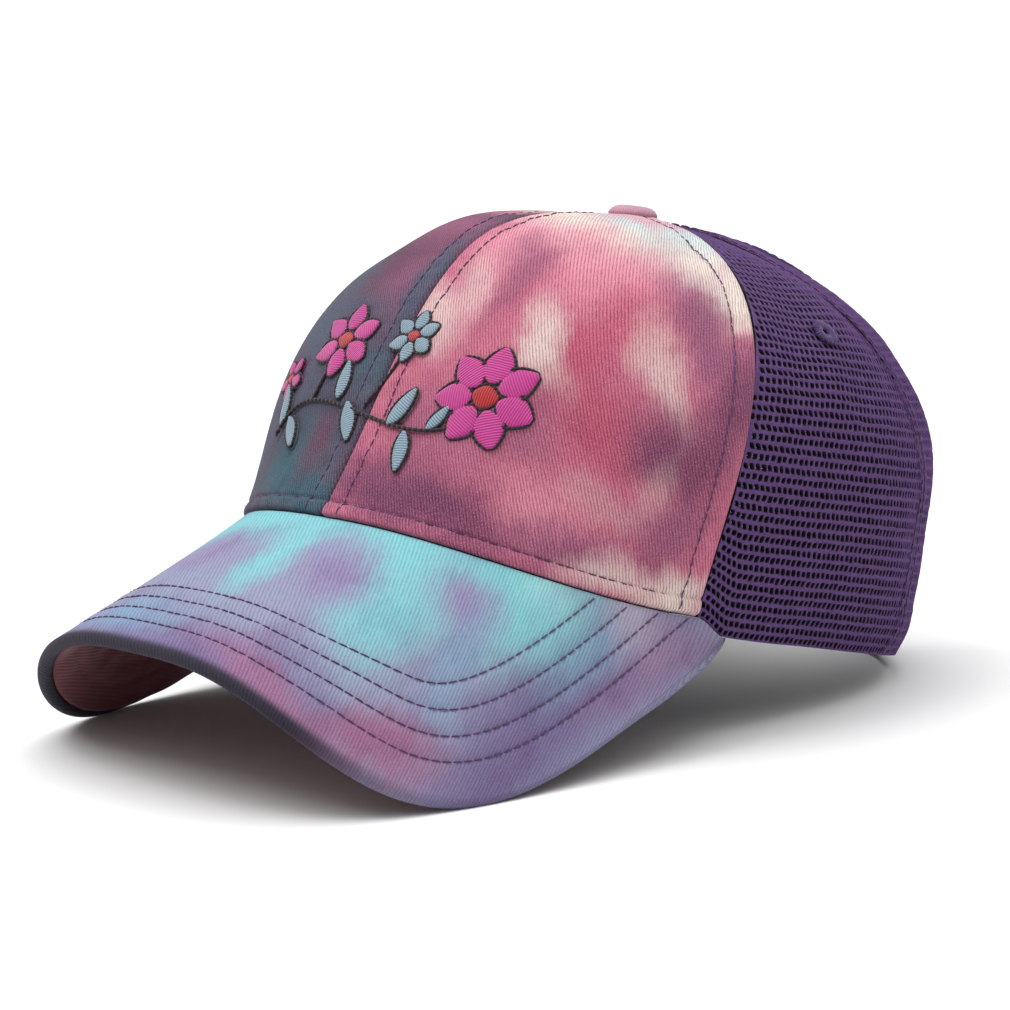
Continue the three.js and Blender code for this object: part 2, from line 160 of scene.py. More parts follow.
def rim_plan(angle):
    s, c = np.sin(angle), np.cos(angle)
    power = 2 / RIM_SQUARENESS
    length = np.where(c > 0, RIM_FRONT, RIM_REAR)
    x = RIM_WIDTH / 2 * np.sign(s) * np.abs(s) ** power
    return x, -length * np.sign(c) * np.abs(c) ** power


def from_front(angle):
    return np.arccos(np.clip(np.cos(angle), -1, 1))


def rim_arch(angle):
    share = np.minimum(from_front(angle) / PEAK_END, 1)
    return np.maximum(np.cos(QUARTER * share), 0) ** RIM_ARCH_POWER


def rim_height(angle):
    a = from_front(angle)
    front = RIM_SIDE_RISE + (RIM_FRONT_RISE - RIM_SIDE_RISE) * rim_arch(angle)
    rear = RIM_CORNER_RISE * ((math.pi - a) / (math.pi - PEAK_END)) ** 2
    return front + (rear - front) * smooth(a, FRONT_SEAM["rim"], PEAK_END)


def climb_angle(climb):
    return QUARTER * (1 - (1 - np.asarray(climb, float)) ** CLIMB_POWER)


def seam_angle(seam, climb):
    share = (climb_angle(climb) / QUARTER) ** seam["power"]
    return seam["rim"] + (seam["top"] - seam["rim"]) * share


def meridian_share(angle, climb):
    t = climb_angle(climb)

    def along(way):
        curve = np.maximum(np.cos(t), 0) ** round_blend(MERIDIAN_POWER, way)
        return curve * (1 + round_blend(MERIDIAN_BULGE, way) * np.sin(2 * t))

    crest = smooth(climb, *CREST)
    return along(angle) * (1 - crest) + along(QUARTER) * crest


def puff(angle, climb):
    a = from_front(angle)
    front, back = seam_angle(FRONT_SEAM, climb), seam_angle(BACK_SEAM, climb)
    low = np.where(a < front, 0, np.where(a < back, front, back))
    high = np.where(a < front, front, np.where(a < back, back, math.pi))
    return PANEL_PUFF * np.sin(math.pi * (a - low) / (high - low)) * np.sin(math.pi * climb)


# Where the net sags in, up the crown and round it: the middle of each sag, its depth and width
NET_SAGS = [(0.66, 1.5, 0.13), (0.15, 1.4, 0.06), (0.03, -1.5, 0.03)]
SAG_FROM, SAG_WHOLE = math.radians(92), math.radians(125)


def settle(angle, climb):
    """The net at the back sags in under the top and over the rim, and turns out at the rim."""
    sag = sum(line_dip(climb - middle, depth, width) for middle, depth, width in NET_SAGS)
    return sag * smooth(from_front(angle), SAG_FROM, SAG_WHOLE)


def crown_surface(angle, climb):
    angle, climb = np.broadcast_arrays(np.asarray(angle, float), np.asarray(climb, float))
    x, y = rim_plan(angle)
    flare = RIM_FLARE * np.sqrt(rim_arch(angle)) * np.maximum(1 - climb / RIM_FLARE_SHARE, 0) ** 2
    stand = puff(angle, climb) + settle(angle, climb) + flare
    out = meridian_share(angle, climb) + stand / np.hypot(x, y)
    rise = rim_height(angle)
    z = rise + (CROWN_HEIGHT - rise) * np.sin(climb_angle(climb))
    return np.stack([x * out, CROWN_TOP_BACK + (y - CROWN_TOP_BACK) * out, z], -1)


def unit(vectors):
    return vectors / np.linalg.norm(vectors, axis=-1, keepdims=True)


def crown_normal(angle, climb):
    step = 1e-3
    climb = np.asarray(climb, float)
    across = crown_surface(angle + step, climb) - crown_surface(angle - step, climb)
    high = crown_surface(angle, np.minimum(climb + step, 1 - step))
    up = high - crown_surface(angle, np.maximum(climb - step, 0))
    return unit(np.cross(across, up))


def crown_point(angle, climb, depth):
    """A point a depth in from the crown's outer surface; at the rim it stays at its height."""
    normal = crown_normal(angle, climb)
    normal[..., 2] *= smooth(np.asarray(climb, float), 0, RIM_LEVEL_SHARE)
    return crown_surface(angle, climb) - unit(normal) * np.asarray(depth)[..., None]


def arc_lengths(points):
    """Lengths along the last row of points, from its first."""
    steps = np.linalg.norm(np.diff(points, axis=-2), axis=-1)
    zero = np.zeros(steps.shape[:-1] + (1,))
    return np.concatenate([zero, np.cumsum(steps, -1)], -1)


def width_angle(width, angle, climb):
    p = crown_surface(angle, climb)
    return width / np.hypot(p[..., 0], p[..., 1] - CROWN_TOP_BACK)


def front_angle(side, climb, middle=0.0):
    width = RIM_WIDTH / 2 * meridian_share(middle, climb)
    share = np.clip(np.abs(side) / width, 0, 1) ** (RIM_SQUARENESS / 2)
    return np.sign(side) * np.arcsin(share)


def back_angle(side, climb):
    return math.pi - front_angle(side, climb, math.pi)


CLIMBS = np.linspace(0, 0.995, 400)
UPPER_CLIMBS = CLIMBS[200:]
UPPER_REACH = crown_surface(QUARTER, UPPER_CLIMBS)[:, 0]
TOP_CLIMB = float(np.interp(-TOP_HOLE_RADIUS, -UPPER_REACH, UPPER_CLIMBS))


def height_table(angle):
    """Arc heights above the rim, up the crown at an angle, for CLIMBS."""
    return arc_lengths(crown_surface(angle, CLIMBS))


# Heights up the middle of each panel, and up the middle of the back to the button
FRONT_HEIGHTS = height_table(math.radians(38))
SIDE_HEIGHTS = height_table(math.radians(97))
BACK_HEIGHTS = height_table(math.radians(130))
BACK_ARC = height_table(math.pi)[-1]


def cloth_to_crown(across, height):
    """Angles and climbs of points of a front panel's cloth, given in mm from the centre seam and
    from the rim."""
    across, height = np.broadcast_arrays(np.asarray(across, float), np.asarray(height, float))
    angles = np.linspace(0, math.radians(89), 120)
    flat_climb = np.interp(height.ravel(), FRONT_HEIGHTS, CLIMBS)
    found = np.empty(flat_climb.shape)
    for i, (s, climb) in enumerate(zip(across.ravel(), flat_climb)):
        lengths = arc_lengths(crown_surface(angles, climb))
        found[i] = math.copysign(np.interp(abs(s), lengths, angles), s)
    return found.reshape(across.shape), flat_climb.reshape(across.shape)


# Meshes


def grid_quads(rows, columns, start=0, flip=False):
    i, j = np.meshgrid(np.arange(rows - 1), np.arange(columns - 1), indexing="ij")
    a = start + i * columns + j
    quads = np.stack([a, a + 1, a + columns + 1, a + columns], -1).reshape(-1, 4)
    return quads[:, ::-1] if flip else quads


def shell(outer, inner):
    """Points and faces of a closed sheet between two grids of points, and how many of the faces
    are the outer grid's."""
    rows, columns = outer.shape[:2]
    half = rows * columns
    front = grid_quads(rows, columns)
    index = np.arange(half).reshape(rows, columns)
    ring = np.concatenate([index[0], index[1:, -1], index[-1, -2::-1], index[-2:0:-1, 0]])
    ahead = np.roll(ring, -1)
    wall = np.stack([ahead, ring, ring + half, ahead + half], -1)
    faces = np.concatenate([front, grid_quads(rows, columns, half, True), wall])
    return np.concatenate([outer.reshape(-1, 3), inner.reshape(-1, 3)]), faces, len(front)


def both_sides(cloth):
    """A shell's cloth coordinates: its inner grid takes those of its outer grid."""
    return np.concatenate([cloth.reshape(-1, 2)] * 2)


def tube(path, radii):
    """Points and faces of a six-sided cord along a path, with a radius for each point."""
    path = np.asarray(path, float)
    count = len(path)
    sides = 6
    along = unit(np.vstack([path[1:], path[-1:]]) - np.vstack([path[:1], path[:-1]]))
    reference = np.where(np.abs(along[:, 2:3]) > 0.9, [[1.0, 0, 0]], [[0, 0, 1.0]])
    side = unit(np.cross(along, reference))
    up = np.cross(side, along)
    turns = np.arange(sides) * 2 * math.pi / sides
    ring = side[:, None] * np.cos(turns)[None, :, None] + up[:, None] * np.sin(turns)[None, :, None]
    points = (path[:, None] + np.reshape(radii, (count, 1, 1)) * ring).reshape(-1, 3)
    faces = []
    for i in range(count - 1):
        a, b = i * sides, (i + 1) * sides
        for j in range(sides):
            k = (j + 1) % sides
            faces.append((a + j, a + k, b + k, b + j))
    faces.append(tuple(range(sides - 1, -1, -1)))
    faces.append(tuple(range((count - 1) * sides, count * sides)))
    return points, faces


def mirrored(part):
    """The same points and faces on the other side of the cap."""
    points, faces = part
    return points * [-1, 1, 1], [tuple(reversed(face)) for face in faces]


def joined(parts):
    """One set of points and faces from several."""
    points, faces, start = [], [], 0
    for part_points, part_faces in parts:
        points.append(part_points)
        faces += [tuple(int(i) + start for i in face) for face in part_faces]
        start += len(part_points)
    return np.vstack(points), faces


def add_piece(name, points, faces, materials, replaces=(), cloth=None, lining_from=None):
    """A mesh piece in the row frame. cloth holds each point's place on the flat cloth, in mm; faces
    from lining_from on take the second material."""
    mesh = bpy.data.meshes.new(name)
    faces = faces.tolist() if isinstance(faces, np.ndarray) else faces
    mesh.from_pydata(placed(points), [], faces)
    for material in materials:
        mesh.materials.append(material)
    mesh.polygons.foreach_set("use_smooth", [True] * len(faces))
    if lining_from is not None:
        mesh.polygons.foreach_set("material_index", [int(i >= lining_from) for i in range(len(faces))])
    if cloth is not None:
        layer = mesh.uv_layers.new(name="cloth")
        corner = np.empty(len(mesh.loops), np.int32)
        mesh.loops.foreach_get("vertex_index", corner)
        layer.data.foreach_set("uv", (np.asarray(cloth)[corner] / CLOTH_UNIT).ravel())
    mesh.update()
    obj = bpy.data.objects.new(name, mesh)
    bpy.context.collection.objects.link(obj)
    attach(obj, "root")
    if replaces:
        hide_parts(*replaces)
    return obj


def add_threads(name, parts, material, replaces=()):
    points, faces = joined(parts)
    add_piece(name, points, faces, [material], replaces)


# Materials


LIGHT_GAIN = 1.12
CLOTH_UNIT = 100  # mm to one unit of the cloth coordinates


def colour(red, green, blue):
    """The linear colour of a cloth that shows as these 0 to 255 values in this scene's light."""
    def linear(value):
        value /= 255
        plain = value / 12.92 if value <= 0.04045 else ((value + 0.055) / 1.055) ** 2.4
        return plain / LIGHT_GAIN

    return (linear(red), linear(green), linear(blue), 1)


class Nodes:
    """A material's node tree, with short calls for the nodes that the cloths share."""

    def __init__(self, name, roughness=0.9, sheen=0.15):
        self.material = bpy.data.materials.new(name)
        self.material.use_nodes = True
        self.tree = self.material.node_tree
        self.shader = self.tree.nodes["Principled BSDF"]
        self.shader.inputs["Roughness"].default_value = roughness
        self.shader.inputs["Sheen Weight"].default_value = sheen
        self.shader.inputs["Specular IOR Level"].default_value = 0.25

    def put(self, node, values):
        """Link or set each of a node's inputs that has a value."""
        for key, value in values.items():
            if isinstance(value, bpy.types.NodeSocket):
                self.tree.links.new(value, node.inputs[key])
            elif value is not None:
                node.inputs[key].default_value = value

    def add(self, kind, inputs=None, **settings):
        node = self.tree.nodes.new(kind)
        for key, value in settings.items():
            setattr(node, key, value)
        self.put(node, inputs or {})
        return node

    def cloth(self):
        return self.add("ShaderNodeUVMap", uv_map="cloth").outputs["UV"]

    def solid(self):
        return self.add("ShaderNodeTexCoord").outputs["Object"]

    def mapped(self, vector, location=(0, 0, 0), turn=0.0, scale=(1, 1, 1)):
        inputs = {"Vector": vector, "Location": location, "Rotation": (0, 0, turn), "Scale": scale}
        return self.add("ShaderNodeMapping", inputs, vector_type="TEXTURE").outputs[0]

    def noise(self, vector, scale, detail=2.0, output="Fac"):
        inputs = {"Vector": vector, "Scale": scale, "Detail": detail}
        return self.add("ShaderNodeTexNoise", inputs).outputs[output]

    def ranged(self, value, low, high, to_low=0.0, to_high=1.0):
        inputs = {
            "Value": value,
            "From Min": low,
            "From Max": high,
            "To Min": to_low,
            "To Max": to_high,
        }
        return self.add("ShaderNodeMapRange", inputs, interpolation_type="SMOOTHSTEP").outputs[0]

    def mix(self, factor, first, second, blend="MIX"):
        inputs = {0: factor, 6: first, 7: second}
        return self.add("ShaderNodeMix", inputs, data_type="RGBA", blend_type=blend).outputs[2]

    def vector_math(self, operation, first, second=None):
        return self.add("ShaderNodeVectorMath", {0: first, 1: second}, operation=operation)

    def moved(self, place, noise_colour, reach):
        """A place on the cloth, moved up to half a reach each way by a noise's colour."""
        shift = self.vector_math("SUBTRACT", noise_colour, (0.5, 0.5, 0.5)).outputs[0]
        shift = self.vector_math("MULTIPLY", shift, (reach, reach, 0.0)).outputs[0]
        return self.vector_math("ADD", place, shift).outputs[0]

    def shaded(self, tone, by):
        return self.mix(1.0, tone, (*by, 1), "MULTIPLY")

    def wave(self, vector, pitch, distortion=0.6):
        """Ribs across X, a pitch in mm apart on the cloth. The node's own pitch is 2 pi / 20."""
        scale = CLOTH_UNIT / pitch / 20 * 2 * math.pi
        inputs = {"Vector": vector, "Scale": scale, "Distortion": distortion, "Detail": 1.0}
        return self.add("ShaderNodeTexWave", inputs, wave_profile="SIN").outputs["Fac"]

    def bump(self, height, distance, strength, normal=None):
        inputs = {"Height": height, "Distance": distance, "Strength": strength, "Normal": normal}
        return self.add("ShaderNodeBump", inputs).outputs[0]

    def finish(self, base, normal):
        self.put(self.shader, {"Base Color": base, "Normal": normal})
        return self.material


# Ribs of the twill: their pitch in mm and their turn
PANEL_RIBS = (0.86, math.radians(29))
PEAK_RIBS = (1.12, math.radians(38))

ROSE = colour(202, 108, 134)
DEEP_ROSE = colour(190, 76, 106)
PINK = colour(230, 147, 164)
TOP_PINK = colour(230, 182, 192)
CREAM = colour(240, 227, 212)
HIGHLIT_AQUA = colour(200, 240, 236)
# An aqua dye, lightened past its own tone as a painted highlight on the upper panels.
MAUVE = colour(152, 84, 118)
PLUM = colour(120, 56, 92)
DARK_PLUM = colour(102, 52, 80)
SLATE = colour(66, 80, 102)
TEAL = colour(44, 88, 102)
LAVENDER = colour(146, 151, 179)
SHADED_LAVENDER = colour(118, 106, 148)
GREY_LAVENDER = colour(146, 138, 176)
TURQUOISE = colour(128, 202, 208)
PALE_TURQUOISE = colour(168, 224, 222)
BLUE_GREY = colour(126, 160, 190)
ROSE_MAUVE = colour(156, 102, 138)

# Patches of dye: their middle, from the centre seam and from the rim, their half length and half
# width, their turn in degrees, and how much of the colour they carry
LEFT_DYE = [
    (22, 146, 46, 12, -38, TOP_PINK, 1.0),
    (8, 128, 20, 9, -66, CREAM, 1.0),
    (24, 117, 26, 9, -38, CREAM, 1.0),
    (38, 119, 20, 5, -40, HIGHLIT_AQUA, 0.85),
    (46, 109, 18, 6, -34, CREAM, 0.85),
    (65, 112, 24, 9, -40, HIGHLIT_AQUA, 1.0),
    (76, 99, 28, 9, -36, CREAM, 1.0),
    (91, 93, 14, 7, -48, CREAM, 0.95),
    (99, 83, 7, 4, -55, CREAM, 0.3),
    (56, 88, 34, 11, -38, PINK, 0.9),
    (12, 104, 22, 9, -62, PINK, 0.85),
    (34, 101, 14, 6, -60, PINK, 0.7),
    (28, 83, 5, 15, -4, PLUM, 0.55),
    (22, 96, 9, 5, -50, MAUVE, 0.6),
    (84, 78, 24, 7, -44, MAUVE, 0.9),
    (15, 77, 15, 6, -70, CREAM, 0.45),
    (8, 64, 12, 6, -50, CREAM, 0.6),
    (56, 64, 12, 20, -30, DEEP_ROSE, 0.8),
    (44, 64, 13, 5, -72, CREAM, 0.8),
    (52, 54, 12, 4, -40, CREAM, 0.4),
    (74, 68, 12, 5, -55, CREAM, 0.45),
    (86, 57, 13, 4, -50, CREAM, 0.5),
    (64, 78, 16, 6, -40, DEEP_ROSE, 0.5),
    (97, 64, 12, 6, -45, MAUVE, 0.75),
    (70, 42, 16, 9, -30, DEEP_ROSE, 0.8),
    (46, 34, 12, 16, -25, MAUVE, 0.6),
    (60, 19, 16, 8, -20, ROSE, 1.0),
    (90, 42, 13, 9, -30, PLUM, 0.9),
    (106, 50, 8, 34, -8, PLUM, 0.85),
    (90, 28, 4, 12, -14, CREAM, 0.2),
    (76, 22, 10, 4, -24, CREAM, 0.2),
    (98, 18, 10, 8, 0, MAUVE, 0.7),
    (26, 10, 36, 9, -3, PLUM, 1.0),
    (63, 17, 13, 7, -20, PINK, 0.6),
    (22, 30, 10, 12, 0, MAUVE, 0.6),
    (72, 9, 14, 5, -4, MAUVE, 0.7),
    (88, 4, 12, 5, 0, CREAM, 0.65),
    (110, 3, 10, 6, 0, CREAM, 0.9),
]
RIGHT_DYE = [
    (-6, 156, 20, 10, 0, TOP_PINK, 1.0),
    (-8, 143, 14, 8, 20, CREAM, 0.95),
    (-9, 130, 12, 5, 30, PINK, 0.7),
    (-14, 104, 14, 20, 30, MAUVE, 0.9),
    (-24, 88, 18, 12, 40, DARK_PLUM, 0.8),
    (-12, 74, 9, 12, 20, MAUVE, 0.5),
    (-4, 78, 4, 26, 0, SLATE, 0.9),
    (-44, 84, 12, 16, 30, SLATE, 0.85),
    (-22, 62, 14, 10, 0, SLATE, 0.7),
    (-44, 60, 14, 14, 0, SLATE, 0.9),
    (-54, 44, 9, 9, 20, DARK_PLUM, 0.6),
    (-8, 44, 10, 7, -15, TEAL, 0.7),
    (-28, 36, 22, 10, -15, SLATE, 0.7),
    (-28, 14, 16, 12, 0, TEAL, 1.0),
    (-10, 6, 12, 6, -10, TEAL, 0.95),
    (-16, 22, 6, 9, 10, DARK_PLUM, 0.7),
    (-6, 24, 5, 10, 0, SLATE, 0.7),
    (-58, 22, 9, 26, 0, SLATE, 0.9),
    (-70, 116, 24, 7, 36, CREAM, 0.8),
    (-80, 103, 20, 8, 38, PINK, 0.9),
    (-78, 86, 15, 6, 34, HIGHLIT_AQUA, 0.7),
    (-92, 84, 10, 7, 50, CREAM, 0.7),
    (-98, 66, 8, 16, 14, ROSE, 0.85),
    (-82, 64, 13, 10, 30, DEEP_ROSE, 0.8),
    (-90, 42, 14, 10, 24, TEAL, 0.8),
    (-108, 48, 7, 20, 4, MAUVE, 0.8),
    (-78, 28, 10, 9, 10, MAUVE, 0.8),
    (-104, 20, 10, 14, 0, PLUM, 0.8),
    (-86, 8, 16, 6, 0, ROSE_MAUVE, 0.7),
]
# The same for the peak, from its middle and from the middle of the rim. Its SHADED_LAVENDER patches,
# along the front and over the near wing, are painted shade over the lavender dye.
PEAK_DYE = [
    (100, -88, 18, 60, 12, SHADED_LAVENDER, 1.0),
    (30, -168, 80, 12, 4, SHADED_LAVENDER, 1.0),
    (50, -149, 16, 6, 8, SHADED_LAVENDER, 0.5),
    (-34, -166, 40, 7, 0, SHADED_LAVENDER, 0.7),
    (-66, -80, 50, 13, -50, TURQUOISE, 1.0),
    (-100, -36, 28, 11, -62, TURQUOISE, 0.95),
    (-20, -111, 36, 10, 0, TURQUOISE, 1.0),
    (28, -108, 30, 13, 10, TURQUOISE, 1.0),
    (66, -88, 28, 16, 40, TURQUOISE, 1.0),
    (84, -56, 22, 7, 62, PALE_TURQUOISE, 0.35),
    (5, -127, 6, 16, 0, TURQUOISE, 0.95),
    (48, -124, 14, 12, 20, TURQUOISE, 0.95),
    (-44, -120, 5, 16, 8, PALE_TURQUOISE, 0.5),
    (-24, -127, 16, 9, 0, GREY_LAVENDER, 1.0),
    (25, -123, 13, 11, 0, GREY_LAVENDER, 1.0),
    (61, -102, 11, 7, 20, GREY_LAVENDER, 1.0),
    (-88, -64, 12, 6, -50, GREY_LAVENDER, 0.9),
    (-14, -158, 16, 7, 0, BLUE_GREY, 0.8),
    (-80, -108, 9, 22, 35, BLUE_GREY, 0.5),
    (74, -112, 7, 14, 35, BLUE_GREY, 0.6),
    (94, -60, 7, 26, 5, BLUE_GREY, 0.45),
    (93, -54, 11, 8, 0, GREY_LAVENDER, 0.8),
    (93, -55, 10, 8, 0, CREAM, 0.22),
    (72, -76, 11, 8, 40, PALE_TURQUOISE, 0.5),
    (76, -140, 22, 7, 42, ROSE_MAUVE, 0.95),
    (44, -158, 22, 6, 6, ROSE_MAUVE, 0.8),
    (-58, -146, 14, 5, -30, ROSE_MAUVE, 0.5),
    (106, -52, 6, 22, 4, ROSE_MAUVE, 0.4),
]
# Where a patch ends and where it is whole, as shares of its half size
DYE_FADE = (1.75, 0.2)
# How far the patches wander, and feather along the threads, in units of the cloth coordinates
DYE_WANDER = 0.13
DYE_FEATHER = 0.06


def dyed_twill(name, ground, patches, ribbing, depth, edge_shade_tone=None):
    """Ribbed cloth with patches of dye that feather along its threads; depth is how dark it is between
    the ribs. Where it has an edge tone, a painted shade for a turned edge, the mesh's shade attribute
    says how much of it each point takes."""
    n = Nodes(name, sheen=0.06)
    flat = n.cloth()
    pitch, turn = ribbing
    ribs_on = n.mapped(flat, turn=turn)
    drift = n.noise(flat, 5.0, 2.0, "Color")
    fray = n.noise(n.mapped(ribs_on, scale=(0.35, 2.2, 1)), 26.0, 3.0, "Color")
    place = n.moved(n.moved(flat, drift, DYE_WANDER), fray, DYE_FEATHER)
    dye = ground
    for across, height, half_length, half_width, lean, tone, share in patches:
        size = (half_length / CLOTH_UNIT, half_width / CLOTH_UNIT, 1)
        middle = (across / CLOTH_UNIT, height / CLOTH_UNIT, 0)
        spot = n.mapped(place, middle, math.radians(lean), size)
        distance = n.vector_math("LENGTH", spot).outputs["Value"]
        dye = n.mix(n.ranged(distance, *DYE_FADE, 0.0, share), dye, tone)
    cloud = n.ranged(n.noise(place, 7.0, 4.0), 0.45, 0.72, 0.0, 0.45)
    dye = n.mix(cloud, dye, n.shaded(dye, (0.74, 0.56, 0.7)))
    ribs = n.wave(ribs_on, pitch, 1.2)
    threads = n.noise(n.mapped(ribs_on, scale=(0.12, 1.5, 1)), 60.0, 2.0)
    grain = n.noise(n.mapped(ribs_on, scale=(0.6, 1.2, 1)), 230.0, 2.0)
    dark = n.mix(depth, dye, n.shaded(dye, (0.44, 0.28, 0.42)))
    bright = n.mix(0.3, n.mix(1.0, dye, dye, "SCREEN"), (0.92, 0.84, 0.84, 1))
    pale = n.mix(n.ranged(grain, 0.4, 0.75, 0.0, 0.6 * depth), dye, bright)
    ribs = n.mix(n.ranged(threads, 0.35, 0.65, 0.0, 0.7), ribs, (0.7, 0.7, 0.7, 1))
    dye = n.mix(n.ranged(ribs, 0.05, 0.8), dark, pale)
    dye = n.mix(n.ranged(grain, 0.5, 0.25, 0.0, 0.35), dye, dark)
    # Painted shade: the turned edge darkens to the edge tone as far as the shade attribute says.
    if edge_shade_tone is not None:
        shade = n.add("ShaderNodeAttribute", attribute_name="shade").outputs["Fac"]
        edge = n.mix(n.ranged(ribs, 0.0, 0.8), n.shaded(edge_shade_tone, (0.6,) * 3), edge_shade_tone)
        dye = n.mix(shade, dye, edge)
    fuzz = n.bump(grain, 0.00008, 0.5)
    normal = n.bump(ribs, 0.00014, 0.8, fuzz)
    return n.finish(dye, normal)


def plain_cloth(name, tone, rib_pitch=0.7, turn=0.0):
    """A one-colour cloth with ribs on its cloth coordinates and a little unevenness."""
    n = Nodes(name)
    flat = n.cloth()
    ribs = n.wave(n.mapped(flat, turn=turn), rib_pitch)
    patch = n.noise(flat, 14.0, 3.0)
    dark = n.shaded(tone, (0.75,) * 3)
    body = n.mix(n.ranged(patch, 0.3, 0.7), dark, tone)
    body = n.mix(n.ranged(ribs, 0.0, 1.0, 0.0, 0.6), dark, body)
    return n.finish(body, n.bump(ribs, 0.00012, 0.7))


def yarn(name, tone, pitch=0.5, sheen=0.2):
    """Twisted thread, by place, for pieces that have no cloth coordinates."""
    n = Nodes(name, 0.75, sheen)
    where = n.solid()
    fibres = n.noise(where, 1000 / pitch, 2.0)
    tufts = n.noise(where, 260.0, 2.0)
    dark = n.shaded(tone, (0.65,) * 3)
    body = n.mix(n.ranged(fibres, 0.35, 0.65), dark, tone)
    body = n.mix(n.ranged(tufts, 0.3, 0.7, 0.0, 0.35), body, dark)
    return n.finish(body, n.bump(fibres, 0.00012, 0.8))


SATIN_PITCH = 0.75


def satin(name, tone):
    """Embroidery laid in close threads across its cloth coordinates."""
    n = Nodes(name, 0.5, 0.3)
    threads = n.wave(n.cloth(), SATIN_PITCH, 0.9)
    body = n.mix(n.ranged(threads, 0.1, 0.8), n.shaded(tone, (0.55,) * 3), tone)
    return n.finish(body, n.bump(threads, 0.00025, 0.9))


CLOTH = {
    "left": dyed_twill("twill_rose", ROSE, LEFT_DYE, PANEL_RIBS, 0.75),
    "right": dyed_twill("twill_plum", colour(88, 66, 86), RIGHT_DYE, PANEL_RIBS, 0.55),
    # The peak's last colour is a painted shade for its turned edge, which faces down.
    "peak": dyed_twill("twill_lavender", LAVENDER, PEAK_DYE, PEAK_RIBS, 0.38, colour(50, 45, 60)),
    # Slate cloth for the peak cover's inner faces and ends: dye, darkened as painted shade like its
    # turned edge.
    "edge": plain_cloth("edge_slate_shade", colour(50, 48, 64), *PEAK_RIBS),
    # Dark plum for the front panels' inside faces: a lining colour, darkened as painted shade of the
    # crown's inside.
    "shaded_lining": plain_cloth("inside_cloth_painted_shade", colour(58, 44, 68)),
    "underside": plain_cloth("underside_maroon", colour(128, 60, 74), *PEAK_RIBS),
    "under_thread": yarn("maroon_thread", colour(70, 34, 46), 0.4),
    "band": plain_cloth("sweatband_twill", colour(74, 54, 98), 1.0, QUARTER),
    "tape": plain_cloth("binding_tape", colour(84, 62, 112), 0.9, QUARTER),
    "net": yarn("net_yarn", colour(103, 71, 128), sheen=0.0),
    # Near-black painted shade for the net's hole walls and back, so that its holes look dark.
    "net_shade": yarn("net_inside_painted_shade", colour(18, 12, 24), sheen=0.0),
    "thread": yarn("dark_thread", colour(98, 56, 106), 0.4),
    "button": plain_cloth("button_twill", colour(216, 164, 184), 0.8, math.radians(30)),
    "eyelet": yarn("eyelet_thread", colour(92, 66, 122), 0.4),
}


# Front panels

HEM = 4.7
CENTRE_STITCH = 6.6
SIDE_STITCH = 5.6
STITCH_PITCH = 3.1
RELIEF_END = 0.04


def panel_relief(across, edge, height, climbs, side):
    """How far a front panel's cloth stands out: its folded edges, hem, stitch lines and puckers."""
    double = 0.4 * (1 - smooth(across, CENTRE_STITCH, CENTRE_STITCH + 1.2))
    double = np.maximum(double, 0.5 * (1 - smooth(edge, SIDE_STITCH, SIDE_STITCH + 1.2)))
    fold = line_dip(across, 1.0, 0.8) + line_dip(edge, 0.7, 0.6) + line_dip(height, 1.1, 0.7)
    grooves = line_dip(across - CENTRE_STITCH, 0.35, 0.55)
    grooves += line_dip(edge - SIDE_STITCH, 0.35, 0.55)
    grooves += line_dip(height - HEM, 0.45, 0.6)
    hem = 0.7 * np.sin(math.pi * np.clip(height / HEM, 0, 1)) ** 0.7
    by_centre = soft_noise(height / 4.2, across / 9, 3 + side) * np.exp(-np.abs(across - 4) / 7)
    by_edge = soft_noise(height / 4.0, edge / 9, 5 + side) * np.exp(-np.abs(edge - 3) / 7)
    by_hem = soft_noise(across / 4.2, height / 8, 7 + side) * np.exp(-np.abs(height - HEM) / 6)
    crisp = smooth(across, 0, 3.5) * smooth(edge, 0, 3.5)
    puckers = (1.0 * by_centre + 1.0 * by_edge + 0.9 * by_hem) * crisp
    crest = 0.9 * smooth(across, 8, 26) * (1 - smooth(across, 34, 64)) + line_dip(across, 0.6, 9)
    crest = crest * smooth(height, 92, 122) * smooth(edge, 0, 12)
    dents = 1.6 * soft_noise(across / 26, height / 34, 11 + side)
    hold = smooth(across, 0, 10) * smooth(edge, 0, 10) * smooth(height, 0, 14)
    relief = double + fold + grooves + hem + crest + puckers * 0.8 + dents * hold
    return relief * smooth(TOP_CLIMB - climbs, 0, RELIEF_END)


